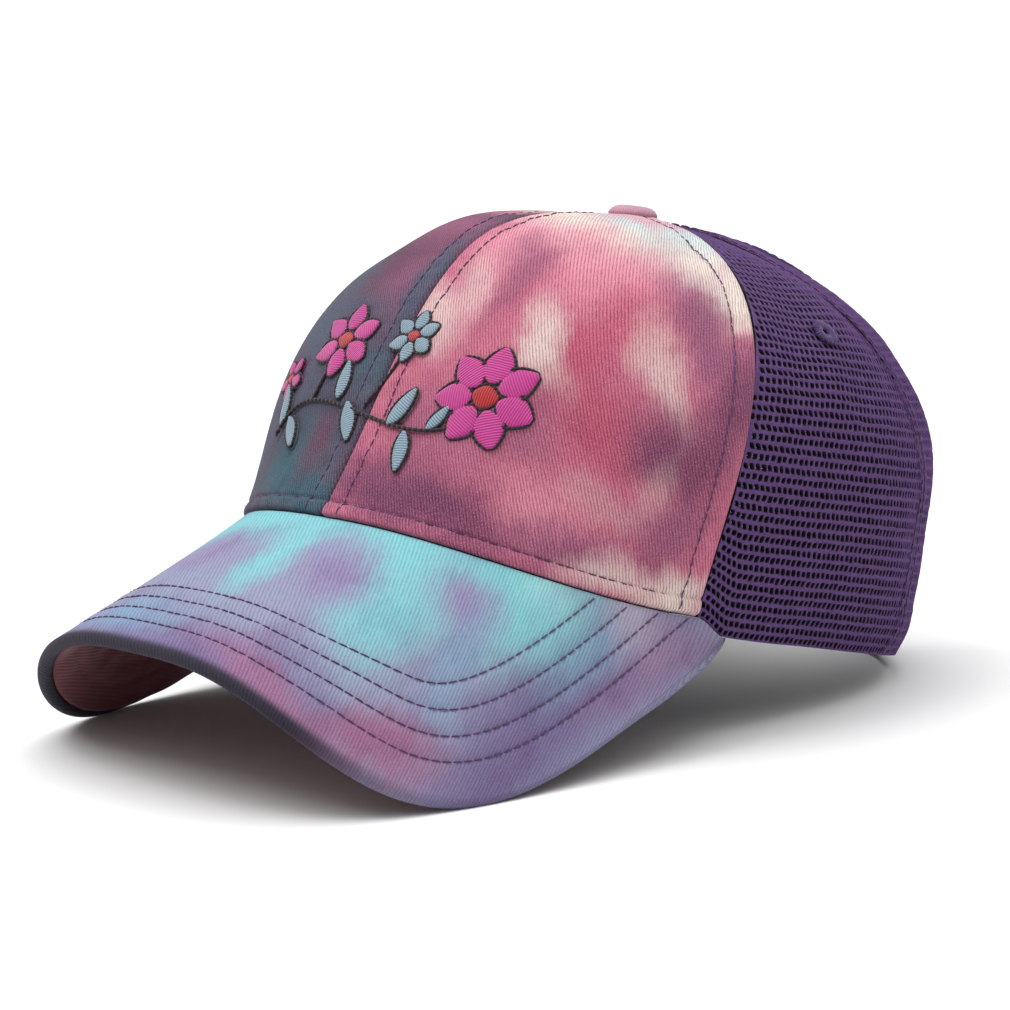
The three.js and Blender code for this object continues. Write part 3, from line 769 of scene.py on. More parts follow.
def front_cloth(side):
    heights = np.concatenate([np.linspace(0, 7, 20), np.linspace(7.9, FRONT_HEIGHTS[-1], 140)])
    climbs = np.minimum(np.interp(heights, FRONT_HEIGHTS, CLIMBS), TOP_CLIMB)
    climbs = climbs[: int(np.argmax(climbs >= TOP_CLIMB)) + 1]
    shares = np.linspace(0, 1, 112)
    shares = 0.45 * shares + 0.55 * (0.5 - 0.5 * np.cos(math.pi * shares))
    low = front_angle(SEAM_GAP / 2, climbs)
    high = seam_angle(FRONT_SEAM, climbs) - width_angle(SEAM_GAP / 2, QUARTER, climbs)
    angles = low[:, None] + (high - low)[:, None] * shares[None]
    grid_climbs = np.broadcast_to(climbs[:, None], angles.shape)
    surface = crown_surface(angles, grid_climbs)
    across = arc_lengths(surface)
    edge = across[:, -1:] - across
    height = np.broadcast_to(np.interp(climbs, CLIMBS, FRONT_HEIGHTS)[:, None], angles.shape)
    relief = panel_relief(across, edge, height, grid_climbs, side)
    outer = crown_point(angles, grid_climbs, -relief)
    inner = crown_point(angles, grid_climbs, np.full(angles.shape, TWILL_THICKNESS))
    flat = np.stack([across * side, height], -1)
    if side < 0:
        outer, inner, flat = outer[:, ::-1], inner[:, ::-1], flat[:, ::-1]
        outer, inner = outer * [-1, 1, 1], inner * [-1, 1, 1]
    points, faces, count = shell(outer, inner)
    name = "left" if side > 0 else "right"
    # The panels' inside faces take the darkened lining colour, a painted shade.
    add_piece(
        f"front_twill_{name}",
        points,
        faces,
        [CLOTH[name], CLOTH["shaded_lining"]],
        [f"front_panel_{name}"],
        both_sides(flat),
        count,
    )


front_cloth(1)
front_cloth(-1)


# Net: a lattice of yarn with real holes in its cells

NET_ROW = 2.88
NET_COLUMN = 2.08
# Shares of a cell: a hole's half height and half width, its lean and how far it strays
HOLE_HALF = (0.335, 0.37)
HOLE_LEAN = 0.16
HOLE_STRAY = 0.04
# Shares of a hole: what is left of it at the net's back, at its corners and over the allowance
HOLE_LEFT = 0.08
HOLE_CORNER = 0.86
HOLE_BACKED = 0.6
# A cell narrower than the first, in mm, is left out; under the second share it has no hole
LEAST_CELL = 0.02
OPEN_CELL = 0.55
YARN_ROUNDING = 0.3
SEAM_ALLOWANCE = 5.5
CELL_CORNERS = [(0, 0), (0, 0.5), (0, 1), (0.5, 1), (1, 1), (1, 0.5), (1, 0), (0.5, 0)]


def levelled(angle, climb):
    """Climbs that keep the rows of net level, a little above the rim, where it rises to the seam."""
    level = rim_height(np.maximum(angle, PEAK_END))
    rise = rim_height(angle)
    height = level + (CROWN_HEIGHT - level) * np.sin(climb_angle(climb))
    turn = np.arcsin(np.clip((height - rise) / (CROWN_HEIGHT - rise), 0, 1))
    flat = 1 - (1 - turn / QUARTER) ** (1 / CLIMB_POWER)
    return climb + (flat - climb) * smooth(climb, 0, 0.3)


def net_piece(name, heights, edges, node, allowance=False):
    """A panel of net. heights is the arc height table of its middle, and edges gives the first and last
    angle at each climb. Where it has an allowance, its first holes, over the seam allowance, are
    narrowed."""
    rows = int(heights[-1] / NET_ROW) + 1
    half_rows = np.arange(2 * rows + 1) / 2
    row_climbs = np.minimum(np.interp(half_rows * NET_ROW, heights, CLIMBS), TOP_CLIMB)
    first, last = edges(row_climbs)
    middle = (first + last) / 2
    spans = []
    for k, climb in enumerate(row_climbs):
        angles = np.linspace(first[k], last[k], 60)
        lengths = arc_lengths(crown_surface(angles, climb))
        spans.append((angles, lengths - np.interp(middle[k], angles, lengths)))
    most = max(max(-lengths[0], lengths[-1]) for _, lengths in spans)
    reach = int(most / NET_COLUMN) + 1

    def angle_at(row, column):
        low = int(np.clip(row * 2, 0, 2 * rows))
        high = min(low + 1, 2 * rows)
        share = row * 2 - low
        picked = [np.interp(column * NET_COLUMN, spans[k][1], spans[k][0]) for k in (low, high)]
        return picked[0] + (picked[1] - picked[0]) * share

    def width_at(row, column):
        lengths = spans[int(row * 2)][1]
        ends = np.array([column, column + 1]) * NET_COLUMN
        return np.diff(np.clip(ends, lengths[0], lengths[-1]))[0]

    def lies_in_allowance(row, column):
        return column * NET_COLUMN - spans[int(row * 2)][1][0] < SEAM_ALLOWANCE

    index, place, front, back, walls, border = {}, [], [], [], [], {}

    def vertex(key, row, column, depth):
        if key not in index:
            index[key] = len(place)
            place.append((row, column, depth))
        return index[key]

    for row in range(rows):
        if row_climbs[2 * row] >= TOP_CLIMB:
            break
        for column in np.arange(-reach, reach) + 0.5 * (row % 2):
            widths = [width_at(row, column), width_at(row + 1, column)]
            if max(widths) < LEAST_CELL:
                continue
            stray = [random.uniform(-HOLE_STRAY, HOLE_STRAY) for _ in range(4)]
            spots = [(row + r, column + c) for r, c in CELL_CORNERS]
            outer = [vertex(("outer",) + spot, *spot, 0.0) for spot in spots]
            under = [vertex(("under",) + spot, *spot, MESH_THICKNESS) for spot in spots]
            for k in range(8):
                m = (k + 1) % 8
                key = frozenset((outer[k], outer[m]))
                border[key] = None if key in border else (outer[m], outer[k], under[k], under[m])
            open_cell = min(widths) > OPEN_CELL * NET_COLUMN and row_climbs[2 * row + 2] < TOP_CLIMB
            if not open_cell:
                front.append(tuple(outer))
                back.append(tuple(reversed(under)))
                continue
            rings = []
            backed = allowance and lies_in_allowance(row, column)
            front_hole = HOLE_BACKED if backed else 1.0
            for depth, grow in ((YARN_ROUNDING, front_hole), (MESH_THICKNESS, HOLE_LEFT)):
                ring = []
                for r, c in CELL_CORNERS:
                    corner = HOLE_CORNER if r != 0.5 and c != 0.5 else 1.0
                    y = 0.5 + (r - 0.5) * 2 * (HOLE_HALF[0] + stray[0]) * corner * grow + stray[1]
                    x = 0.5 + (c - 0.5) * 2 * (HOLE_HALF[1] + stray[2]) * corner * grow + stray[3]
                    x += HOLE_LEAN * (0.5 - r) * (1 if row % 2 else -1)
                    ring.append(vertex((row, column, depth, r, c), row + y, column + x, depth))
                rings.append(ring)
            for k in range(8):
                m = (k + 1) % 8
                front.append((outer[k], outer[m], rings[0][m], rings[0][k]))
                walls.append((rings[0][k], rings[0][m], rings[1][m], rings[1][k]))
                back.append((rings[1][k], rings[1][m], under[m], under[k]))
    walls += [face for face in border.values() if face is not None]
    place = np.array(place)
    angles = np.array([angle_at(row, column) for row, column in place[:, :2]])
    climbs = np.interp(place[:, 0], half_rows, row_climbs)
    wobble = 0.18 * soft_noise(place[:, 0] * 1.7, place[:, 1] * 1.7, 21)
    dents = 1.2 * soft_noise(place[:, 0] / 9, place[:, 1] / 9, 23) * smooth(climbs, 0, 0.2)
    dents *= smooth(TOP_CLIMB - climbs, 0, 0.1)
    points = crown_point(angles, levelled(angles, climbs), place[:, 2] - wobble - dents)
    faces = [tuple(reversed(face)) for face in front + walls + back]
    if name.endswith("right"):
        points, faces = mirrored((points, faces))
    # The hole walls and the net's back take net_shade, a near-black painted shade.
    add_piece(name, points, faces, [CLOTH["net"], CLOTH["net_shade"]], [node], None, len(front))


def side_edges(climb):
    half = width_angle(SEAM_GAP / 2, QUARTER, climb)
    return seam_angle(FRONT_SEAM, climb) + half, seam_angle(BACK_SEAM, climb) - half


def arch_side(climb, margin):
    top = OPENING_TOP_SHARE + margin / BACK_ARC
    left = 1 - np.minimum(climb / top, 1) ** OPENING_SQUARENESS
    return (OPENING_HALF_WIDTH + margin) * left ** (1 / OPENING_SQUARENESS)


def back_edges(climb):
    half = width_angle(SEAM_GAP / 2, math.pi, climb)
    side = np.maximum(arch_side(climb, BINDING_WIDTH + LAYER_GAP), SEAM_GAP / 2)
    return seam_angle(BACK_SEAM, climb) + half, back_angle(side, climb)


for side in ("left", "right"):
    net_piece(f"side_net_{side}", SIDE_HEIGHTS, side_edges, f"side_panel_{side}")
    net_piece(f"back_net_{side}", BACK_HEIGHTS, back_edges, f"back_panel_{side}", True)


# Peak


PEAK_ROOT_Y = float(rim_plan(np.array(PEAK_END))[1])
PEAK_HALF_WIDTH = RIM_WIDTH / 2 + PEAK_OVERHANG
PEAK_WING_Y = PEAK_ROOT_Y - PEAK_WING_START
STITCH_ROWS = (11, 17, 23, 29)
STITCH_CORNER = 0.16
STATION_POWER = 1.7
# The station at which the wings start to draw in, and what is left of their length's square
PEAK_TAPER_START = 0.88
PEAK_TAPER_LEFT = 0.02
UNDERSIDE_END = 0.86
EDGE_STEPS = 13


def peak_rise(forward, drop, x):
    arch = (1 + PEAK_ARCH_FLARE * forward / PEAK_REACH) * np.abs(x / PEAK_HALF_WIDTH) ** PEAK_ARCH_POWER
    return RIM_FRONT_RISE - math.tan(PEAK_PITCH) * forward - drop * arch


def peak_arch_drop():
    forward = -(PEAK_WING_Y + RIM_FRONT)
    flare = 1 + PEAK_ARCH_FLARE * forward / PEAK_REACH
    end = float(rim_height(np.array(PEAK_END))) - PEAK_WING_TUCK
    return (float(peak_rise(forward, 0, PEAK_HALF_WIDTH)) - end) / flare


PEAK_DROP = peak_arch_drop()


def station_turn(station):
    return np.sign(station) * QUARTER * (1 - (1 - np.abs(station)) ** STATION_POWER)


def peak_ruling(station):
    """The rim's and the edge's points of the peak at a station across it, from -1 to 1."""
    turn = station_turn(station)
    s = np.sin(turn)
    along = np.maximum(np.cos(turn), 0) ** (2 / PEAK_OUTLINE_ALONG)
    x = PEAK_HALF_WIDTH * np.sign(s) * np.abs(s) ** (2 / PEAK_OUTLINE_ACROSS)
    y = PEAK_WING_Y + (-RIM_FRONT - PEAK_REACH - PEAK_WING_Y) * along
    edge = np.stack([x, y, peak_rise(-(y + RIM_FRONT), PEAK_DROP, x)], -1)
    rim = crown_point(turn / QUARTER * PEAK_END, np.zeros(turn.shape), np.zeros(turn.shape))
    rim[..., 2] -= LAYER_GAP
    past = np.clip((np.abs(station) - PEAK_TAPER_START) / (1 - PEAK_TAPER_START), 0, 1)
    taper = np.sqrt(1 - (1 - PEAK_TAPER_LEFT) * past * past)
    return rim, rim + (edge - rim) * taper[..., None]


def peak_frame(station, inset):
    """Points of the peak's top, an inset in from its edge along the ruling, and their normals."""
    rim, edge = peak_ruling(station)
    length = np.linalg.norm(edge - rim, axis=-1)
    share = np.clip(1 - inset / length, 0, 1)[..., None]
    step = 0.01

    def on(where):
        low, high = peak_ruling(np.clip(where, -1, 1))
        return low + (high - low) * share

    normal = unit(np.cross(edge - rim, on(station + step) - on(station - step)))
    return rim + (edge - rim) * share, normal


def ruling_length(station):
    rim, edge = peak_ruling(station)
    return np.linalg.norm(edge - rim, axis=-1)


EDGE_LINE = peak_ruling(np.linspace(-1, 1, 600))[1]


def edge_distance(points):
    """The distance from points of the peak to its edge, as the stitched rows follow it: they cut
    its corners a little."""
    flat = points.reshape(-1, 3)
    nearest = np.array([np.sqrt(((EDGE_LINE - p) ** 2).sum(1).min()) for p in flat])
    corner = np.exp(-(((np.abs(flat[:, 0]) - 60) / 16) ** 2))
    return (nearest / (1 + STITCH_CORNER * corner)).reshape(points.shape[:-1])


def flat_peak(points):
    """Where points of the peak lie on its cloth before it is bent: across and along."""
    x, y = points[..., 0], points[..., 1]
    shares = np.linspace(0, 1, 40)
    steps = x[..., None] * shares
    flare = 1 + PEAK_ARCH_FLARE * -(y + RIM_FRONT) / PEAK_REACH
    slope = (PEAK_DROP * flare * PEAK_ARCH_POWER / PEAK_HALF_WIDTH)[..., None]
    slope = slope * np.abs(steps / PEAK_HALF_WIDTH) ** (PEAK_ARCH_POWER - 1)
    stretch = np.sqrt(1 + slope**2)
    return np.stack([x * stretch.mean(-1), y], -1)


def peak_relief(distance, cloth):
    """The stitched rows sink in, and the cloth swells a little between them."""
    relief = np.zeros(distance.shape)
    for row in STITCH_ROWS:
        relief = relief + line_dip(distance - row, 0.3, 0.6)
        waves = soft_noise(cloth[..., 0] / 3.6, cloth[..., 1] / 3.6, row)
        relief = relief + 0.35 * waves * np.exp(-np.abs(distance - row) / 2.5)
    between = (distance > STITCH_ROWS[0]) & (distance < STITCH_ROWS[-1])
    swell = np.sin(math.pi * (distance - STITCH_ROWS[0]) / (STITCH_ROWS[1] - STITCH_ROWS[0])) ** 2
    return relief + 0.22 * swell * between


def wing_share(x):
    """0 along the front of the peak, 1 at its ends."""
    return smooth(np.abs(x), 0.86 * PEAK_HALF_WIDTH, PEAK_HALF_WIDTH)


def cover_points(stations, insets, radius):
    """Points of the peak's top and their normals; at the turned edge, the insets run square to it."""
    points, normals = peak_frame(np.broadcast_to(stations, insets.shape), insets)
    rim, edge = peak_ruling(stations)
    ahead = peak_ruling(np.clip(stations + 0.004, -1, 1))[1]
    along = unit(ahead - peak_ruling(np.clip(stations - 0.004, -1, 1))[1])
    ruling = rim - edge
    inward = unit(ruling - along * (ruling * along).sum(-1, keepdims=True))
    rolled = edge + inward * insets[..., None]
    shift = edge + inward * radius[..., None] - peak_frame(stations, radius)[0]
    fade = np.exp(-np.maximum(insets - radius, 0) / 5)[..., None]
    return np.where((insets > radius)[..., None], points + shift * fade, rolled), normals


def peak_cover():
    stations = np.linspace(-1, 1, 281)[:, None]
    count = len(stations)
    length = ruling_length(stations[:, 0])[:, None]
    edge_x = peak_ruling(stations[:, 0])[1][:, :1]
    scale = np.minimum(1, length / (4 * PEAK_LIP)) * (1 - 0.4 * wing_share(edge_x))
    lip = PEAK_LIP * scale
    radius = PEAK_EDGE_THICKNESS / 2 * scale
    top_insets = radius + (length - radius) * np.linspace(1, 0, 92)[None]
    turns = np.linspace(0, math.pi, EDGE_STEPS)[None, 1:]
    insets = np.concatenate([top_insets, radius * (1 - np.sin(turns)), lip], 1)
    depths = np.concatenate([np.zeros_like(top_insets), radius * (1 - np.cos(turns)), 2 * radius], 1)
    points, normals = cover_points(stations, insets, radius)
    cloth = flat_peak(points)
    relief = peak_relief(edge_distance(points), cloth) * (depths == 0) * smooth(length - insets, 0, 3)
    outer = points - normals * (depths - relief)[..., None]
    core_insets = np.concatenate([top_insets, np.repeat(lip, EDGE_STEPS, 1)], 1)
    core_insets = np.maximum(core_insets, lip)
    core_points, core_normals = cover_points(stations, core_insets, radius)
    core = np.minimum(PEAK_CORE, 2 * radius - 0.5)
    inner = core_points - core_normals * core[..., None]
    rim_angles = station_turn(stations[:, 0]) / QUARTER * PEAK_END
    ledge = crown_point(rim_angles, np.zeros(count), np.full(count, TWILL_THICKNESS))
    ledge_under = ledge.copy()
    ledge_under[:, 2] = inner[:, 0, 2]
    outer = np.concatenate([(ledge - [0, 0, LAYER_GAP])[:, None], outer], 1)
    inner = np.concatenate([((ledge_under + inner[:, 0]) / 2)[:, None], inner], 1)
    cloth = np.concatenate([cloth[:, :1], cloth], 1)
    # The shade attribute paints shade on the rounded edge and the lip under it; the near wing takes a
    # fifth of it.
    round_edge = smooth(radius * 2.6 - insets, 0, radius * 1.7) * (depths == 0) + (depths > 0)
    near_side = smooth(edge_x, 0.62 * PEAK_HALF_WIDTH, 0.93 * PEAK_HALF_WIDTH)
    shade = np.concatenate([np.zeros((count, 1)), round_edge * (1 - 0.8 * near_side)], 1)
    points, faces, front_count = shell(outer, inner)
    obj = add_piece(
        "peak_cover",
        points,
        faces[:, ::-1],
        [CLOTH["peak"], CLOTH["edge"]],
        ["peak"],
        both_sides(cloth),
        front_count,
    )
    layer = obj.data.attributes.new("shade", "FLOAT", "POINT")
    layer.data.foreach_set("value", np.concatenate([shade.ravel(), np.ones(shade.size)]))


peak_cover()


def peak_underside():
    stations = np.linspace(-UNDERSIDE_END, UNDERSIDE_END, 161)[:, None]
    length = ruling_length(stations[:, 0])[:, None]
    scale = np.minimum(1, length / (4 * PEAK_LIP))
    low = (PEAK_LIP + 2 * LAYER_GAP) * scale
    insets = low + (length - LAYER_GAP - low) * np.linspace(1, 0, 60)[None]
    where = np.broadcast_to(stations, insets.shape)
    points, normals = peak_frame(where, insets)
    cloth = flat_peak(points)
    distance = edge_distance(points)
    depth = PEAK_CORE + LAYER_GAP
    relief = peak_relief(distance, cloth) + 0.5 * soft_noise(cloth[..., 0] / 12, cloth[..., 1] / 9, 31)
    relief = np.minimum(relief, 0.35)
    top = points - normals * depth
    under = points - normals * (depth + UNDERSIDE_THICKNESS + relief)[..., None]
    points, faces, _ = shell(top, under)
    add_piece(
        "peak_underside_cloth",
        points,
        faces[:, ::-1],
        [CLOTH["underside"]],
        ["peak_underside"],
        both_sides(cloth),
    )


peak_underside()


# Sweatband, binding and strap

STRAP_HALF_LENGTH = OPENING_HALF_WIDTH + BINDING_WIDTH + STRAP_OVERLAP
STRAP_DEPTH = MESH_THICKNESS + BINDING_PROUD + 2 * LAYER_GAP
STRAP_STITCH = 2.6
SWEATBAND_FOOT = 0.004
# How far across the tape its stitches run
BINDING_STITCH = 0.82
ARCH_POWER = 1.6


def climb_of_arc(angle, arc):
    return float(np.interp(arc, height_table(angle), CLIMBS))


def crown_band(name, node, material, climbs, ends, columns, depths, relief):
    """A band that follows the inside of the crown, between two ends and two depths."""
    first, last = ends
    angles = first[:, None] + (last - first)[:, None] * np.linspace(0, 1, columns)[None]
    grid_climbs = np.broadcast_to(climbs[:, None], angles.shape)
    across = arc_lengths(crown_surface(angles, grid_climbs))
    heights = np.interp(grid_climbs, CLIMBS, SIDE_HEIGHTS)
    stand = relief(across, heights)
    outer = crown_point(angles, grid_climbs, depths[0] - stand)
    inner = crown_point(angles, grid_climbs, depths[1] + stand)
    points, faces, _ = shell(outer, inner)
    cloth = both_sides(np.stack([across, heights], -1))
    add_piece(name, points, faces, [material], [node], cloth)


def band_relief(across, heights):
    rounding = line_dip(heights, 0.3, 0.8) + line_dip(SWEATBAND_HEIGHT - heights, 0.3, 0.8)
    return rounding + 0.2 * soft_noise(across / 8, heights / 6, 41)


def sweatband():
    depth = max(TWILL_THICKNESS, MESH_THICKNESS) + 2 * LAYER_GAP
    climbs = np.linspace(SWEATBAND_FOOT, climb_of_arc(QUARTER, SWEATBAND_HEIGHT), 22)
    end = back_angle(STRAP_HALF_LENGTH + 2 * LAYER_GAP, climbs)
    depths = (depth, depth + SWEATBAND_THICKNESS)
    run = (climbs, (-end, end), 300, depths, band_relief)
    crown_band("sweatband_cloth", "sweatband", CLOTH["band"], *run)


def strap_relief(across, heights):
    rounding = line_dip(heights, 0.35, 0.7) + line_dip(STRAP_HEIGHT - heights, 0.35, 0.7)
    low_row = line_dip(heights - STRAP_STITCH, 0.25, 0.5)
    high_row = line_dip(STRAP_HEIGHT - STRAP_STITCH - heights, 0.25, 0.5)
    return rounding + low_row + high_row


def back_strap():
    climbs = np.linspace(0, climb_of_arc(math.pi, STRAP_HEIGHT), 26)
    end = back_angle(STRAP_HALF_LENGTH, climbs)
    depths = (STRAP_DEPTH, STRAP_DEPTH + STRAP_THICKNESS)
    run = (climbs, (end, 2 * math.pi - end), 120, depths, strap_relief)
    crown_band("strap_cloth", "back_strap", CLOTH["tape"], *run)


def arch_run(margin, steps):
    """Places up one side of the opening, a margin out from its edge: sideways and up the crown."""
    shares = 1 - (1 - np.linspace(0, 1, steps)) ** ARCH_POWER
    climbs = (OPENING_TOP_SHARE + margin / BACK_ARC) * shares
    return arch_side(climbs, margin), climbs


def opening_binding():
    """Tape folded over the opening's edge, up one side and down the other."""
    depth_half = MESH_THICKNESS / 2 + BINDING_PROUD
    laps = np.linspace(0, 1, 15)
    sheets = []
    for sign in (-1, 1):
        rows = []
        for lap in laps:
            sides, climbs = arch_run(BINDING_WIDTH * lap, 60)
            side = np.concatenate([-sides[:-1], sides[::-1]])
            climb = np.concatenate([climbs[:-1], climbs[::-1]])
            steps = np.arange(len(side))
            fold = depth_half * (1 - (1 - min(lap / 0.16, 1)) ** 2) ** 0.5
            groove = line_dip(lap - BINDING_STITCH, 0.25, 0.06)
            stand = fold + groove + 0.12 * np.sin(steps * 0.9) * (lap > 0.1)
            depth = MESH_THICKNESS / 2 + sign * stand
            rows.append(crown_point(back_angle(side, climb), climb, depth))
        sheets.append(np.array(rows))
    cloth = both_sides(np.stack(np.meshgrid(steps * 4.0, laps * BINDING_WIDTH), -1))
    points, faces, _ = shell(*sheets)
    name = "binding_cloth"
    add_piece(name, points, faces, [CLOTH["tape"]], ["opening_binding"], cloth)


sweatband()
back_strap()
opening_binding()


# Button and eyelets

# The button's rings: their radius and their height, as shares of its own
BUTTON_PROFILE = [
    (0.3, 0.985),
    (0.55, 0.93),
    (0.76, 0.82),
    (0.9, 0.64),
    (0.98, 0.42),
    (1.0, 0.25),
    (0.97, 0.1),
    (0.9, 0.03),
    (0.6, 0.0),
    (0.38, 0.0),
]
WASHER_SCALE = 2.2
WASHER_THICKNESS = 0.8
EYELET_THREADS = 34

def button_cover():
    """A domed button in cloth that is gathered under its edge, with its shank and washer."""
    sides = 64
    turns = np.arange(sides) * 2 * math.pi / sides
    rings = []
    for radius, height in BUTTON_PROFILE:
        folds = 1 + 0.02 * np.sin(turns * 16) * smooth(1 - height, 0.3, 0.9)
        x = BUTTON_RADIUS * radius * folds * np.cos(turns)
        y = CROWN_TOP_BACK + BUTTON_RADIUS * radius * folds * np.sin(turns)
        dome = BUTTON_HEIGHT * height + 0.15 * soft_noise(x / 3, y / 3, 51)
        rings.append(np.stack([x, y, CROWN_HEIGHT + LAYER_GAP + dome], -1))
    shank = rings[-1].copy()
    shank[:, 2] = CROWN_HEIGHT - TWILL_THICKNESS - 2 * LAYER_GAP
    washer = shank.copy()
    washer[:, :2] = (washer[:, :2] - [0, CROWN_TOP_BACK]) * WASHER_SCALE + [0, CROWN_TOP_BACK]
    rings += [shank, washer, washer - [0, 0, WASHER_THICKNESS]]
    top = np.array([[0, CROWN_TOP_BACK, CROWN_HEIGHT + LAYER_GAP + BUTTON_HEIGHT]])
    points = np.concatenate([top] + rings)
    faces = [(0, 1 + j, 1 + (j + 1) % sides) for j in range(sides)]
    for i in range(len(rings) - 1):
        a = 1 + i * sides
        b = a + sides
        faces += [(a + j, b + j, b + (j + 1) % sides, a + (j + 1) % sides) for j in range(sides)]
    last = 1 + (len(rings) - 1) * sides
    faces.append(tuple(last + sides - 1 - j for j in range(sides)))
    cloth = points[:, :2]
    add_piece("button_cover", points, faces, [CLOTH["button"]], ["button"], cloth)


button_cover()


def eyelet_threads(side):
    """A stitched eyelet: threads laid from its hole outwards and arched up into a low ring."""
    share = EYELET_HEIGHT_SHARE
    front, back = float(seam_angle(FRONT_SEAM, share)), float(seam_angle(BACK_SEAM, share))
    angle = front + (back - front) * EYELET_ACROSS_SHARE
    middle = crown_point(np.array(angle), np.array(share), np.array(-LAYER_GAP))
    normal = crown_normal(np.array(angle), np.array(share))
    level = unit(np.cross([0, 0, 1.0], normal))
    up = np.cross(normal, level)
    parts = []
    for k in range(EYELET_THREADS):
        turn = 2 * math.pi * k / EYELET_THREADS
        out = level * math.cos(turn) + up * math.sin(turn)
        reach = EYELET_RADIUS * (1 + random.uniform(-0.06, 0.04))
        reaches = [EYELET_HOLE, EYELET_HOLE + 0.5, 0.6 * reach, 0.9 * reach, reach]
        rises = [0.05, 0.62, 0.85, 0.5, 0.02]
        path = [middle + out * r + normal * rise for r, rise in zip(reaches, rises)]
        parts.append(tube(path, [0.16, 0.24, 0.34, 0.38, 0.3]))
    if side < 0:
        parts = [mirrored(part) for part in parts]
    name = "left" if side > 0 else "right"
    add_threads(f"eyelet_thread_{name}", parts, CLOTH["eyelet"], [f"eyelet_{name}"])


eyelet_threads(1)
eyelet_threads(-1)


# Stitching

# Five places along a stitch, how high they lie in mm, and their shares of its radius
STITCH_PLACES = np.array([0.0, 0.12, 0.5, 0.88, 1.0])
STITCH_RISES = np.array([-0.25, 0.02, 0.12, 0.02, -0.25])
STITCH_SWELL = np.array([0.5, 0.9, 1.0, 0.9, 0.5])
HEM_END = 1.6


def stitches(path, normals, pitch=STITCH_PITCH, radius=0.21, fill=0.88):
    """Stitches along a path on the cloth: each one rises from a hole, lies, and goes down again."""
    lengths = arc_lengths(path)
    total = lengths[-1]
    count = max(int(total / pitch), 1)

    def at(places, values):
        return np.stack([np.interp(places, lengths, values[:, i]) for i in range(3)], -1)

    parts = []
    for k in range(count):
        start = (k + (1 - fill) / 2) * total / count
        places = start + STITCH_PLACES * (fill * total / count)
        lift = unit(at(places, normals)) * STITCH_RISES[:, None]
        parts.append(tube(at(places, path) + lift, radius * STITCH_SWELL))
    return joined(parts)


def on_crown(angles, climbs, lift):
    """Points and normals along the crown, lifted off its surface."""
    angles, climbs = np.broadcast_arrays(np.asarray(angles, float), np.asarray(climbs, float))
    return crown_point(angles, climbs, np.full(angles.shape, -lift)), crown_normal(angles, climbs)


def on_panel(across, edge, height, angles, climbs, side):
    """A path on a front panel's cloth, raised and dented as the cloth is, and its normals."""
    relief = panel_relief(across, edge, height, climbs, side)
    path, out = on_crown(angles, climbs, relief + 0.12)
    return (path, out) if side > 0 else (path * [-1, 1, 1], out * [-1, 1, 1])


def front_seam_stitches():
    """On each front panel, a row beside the centre seam, one beside its other seam and the hem's."""
    tall = np.linspace(1.0, FRONT_HEIGHTS[-1] - 9, 160)
    climbs = np.interp(tall, FRONT_HEIGHTS, CLIMBS)
    seam = seam_angle(FRONT_SEAM, climbs)
    sweep = seam[:, None] * np.linspace(0, 1, 60)
    widths = arc_lengths(crown_surface(sweep, climbs[:, None]))[:, -1]
    centre, _ = cloth_to_crown(CENTRE_STITCH, tall)
    beside = seam - width_angle(SIDE_STITCH, QUARTER, climbs)
    low = np.linspace(0.02, FRONT_SEAM["rim"] - 0.02, 200)
    low_climbs = np.array([climb_of_arc(angle, HEM) for angle in low])
    low_widths = arc_lengths(crown_surface(low, low_climbs))
    low_edges = low_widths[-1] + HEM_END - low_widths
    rows = [
        (CENTRE_STITCH, widths - CENTRE_STITCH, tall, centre, climbs),
        (widths - SIDE_STITCH, SIDE_STITCH, tall, beside, climbs),
        (low_widths + HEM_END, low_edges, HEM, low, low_climbs),
    ]
    parts = [stitches(*on_panel(*row, side)) for side in (1, -1) for row in rows]
    add_threads("front_stitches", parts, CLOTH["thread"])


front_seam_stitches()


def peak_stitches():
    """Rows of stitches at even distances in from the peak's edge; two of them show underneath."""
    stations = np.linspace(-0.995, 0.995, 500)
    length = ruling_length(stations)
    shares = np.linspace(0, 1, 50)
    grid_insets = length[:, None] * shares[None]
    points, normals = peak_frame(np.broadcast_to(stations[:, None], grid_insets.shape), grid_insets)
    distance = edge_distance(points)
    parts, under_parts = [], []
    for row in STITCH_ROWS:
        path, out = [], []
        for i in range(len(stations)):
            if distance[i].max() < row:
                continue
            reach = int(np.argmax(distance[i] >= row))
            share = (row - distance[i][reach - 1]) / (distance[i][reach] - distance[i][reach - 1])
            path.append(points[i, reach - 1] * (1 - share) + points[i, reach] * share)
            out.append(normals[i, reach])
        path, out = np.array(path), np.array(out)
        parts.append(stitches(path - out * 0.1, out))
        if row < STITCH_ROWS[2]:
            continue
        depth = PEAK_CORE + LAYER_GAP + UNDERSIDE_THICKNESS
        kept = np.abs(path[:, 0]) < 0.97 * RIM_WIDTH / 2
        under_parts.append(stitches((path - out * depth)[kept], -out[kept]))
    add_threads("peak_stitches", parts, CLOTH["thread"])
    add_threads("underside_stitches", under_parts, CLOTH["under_thread"])


peak_stitches()


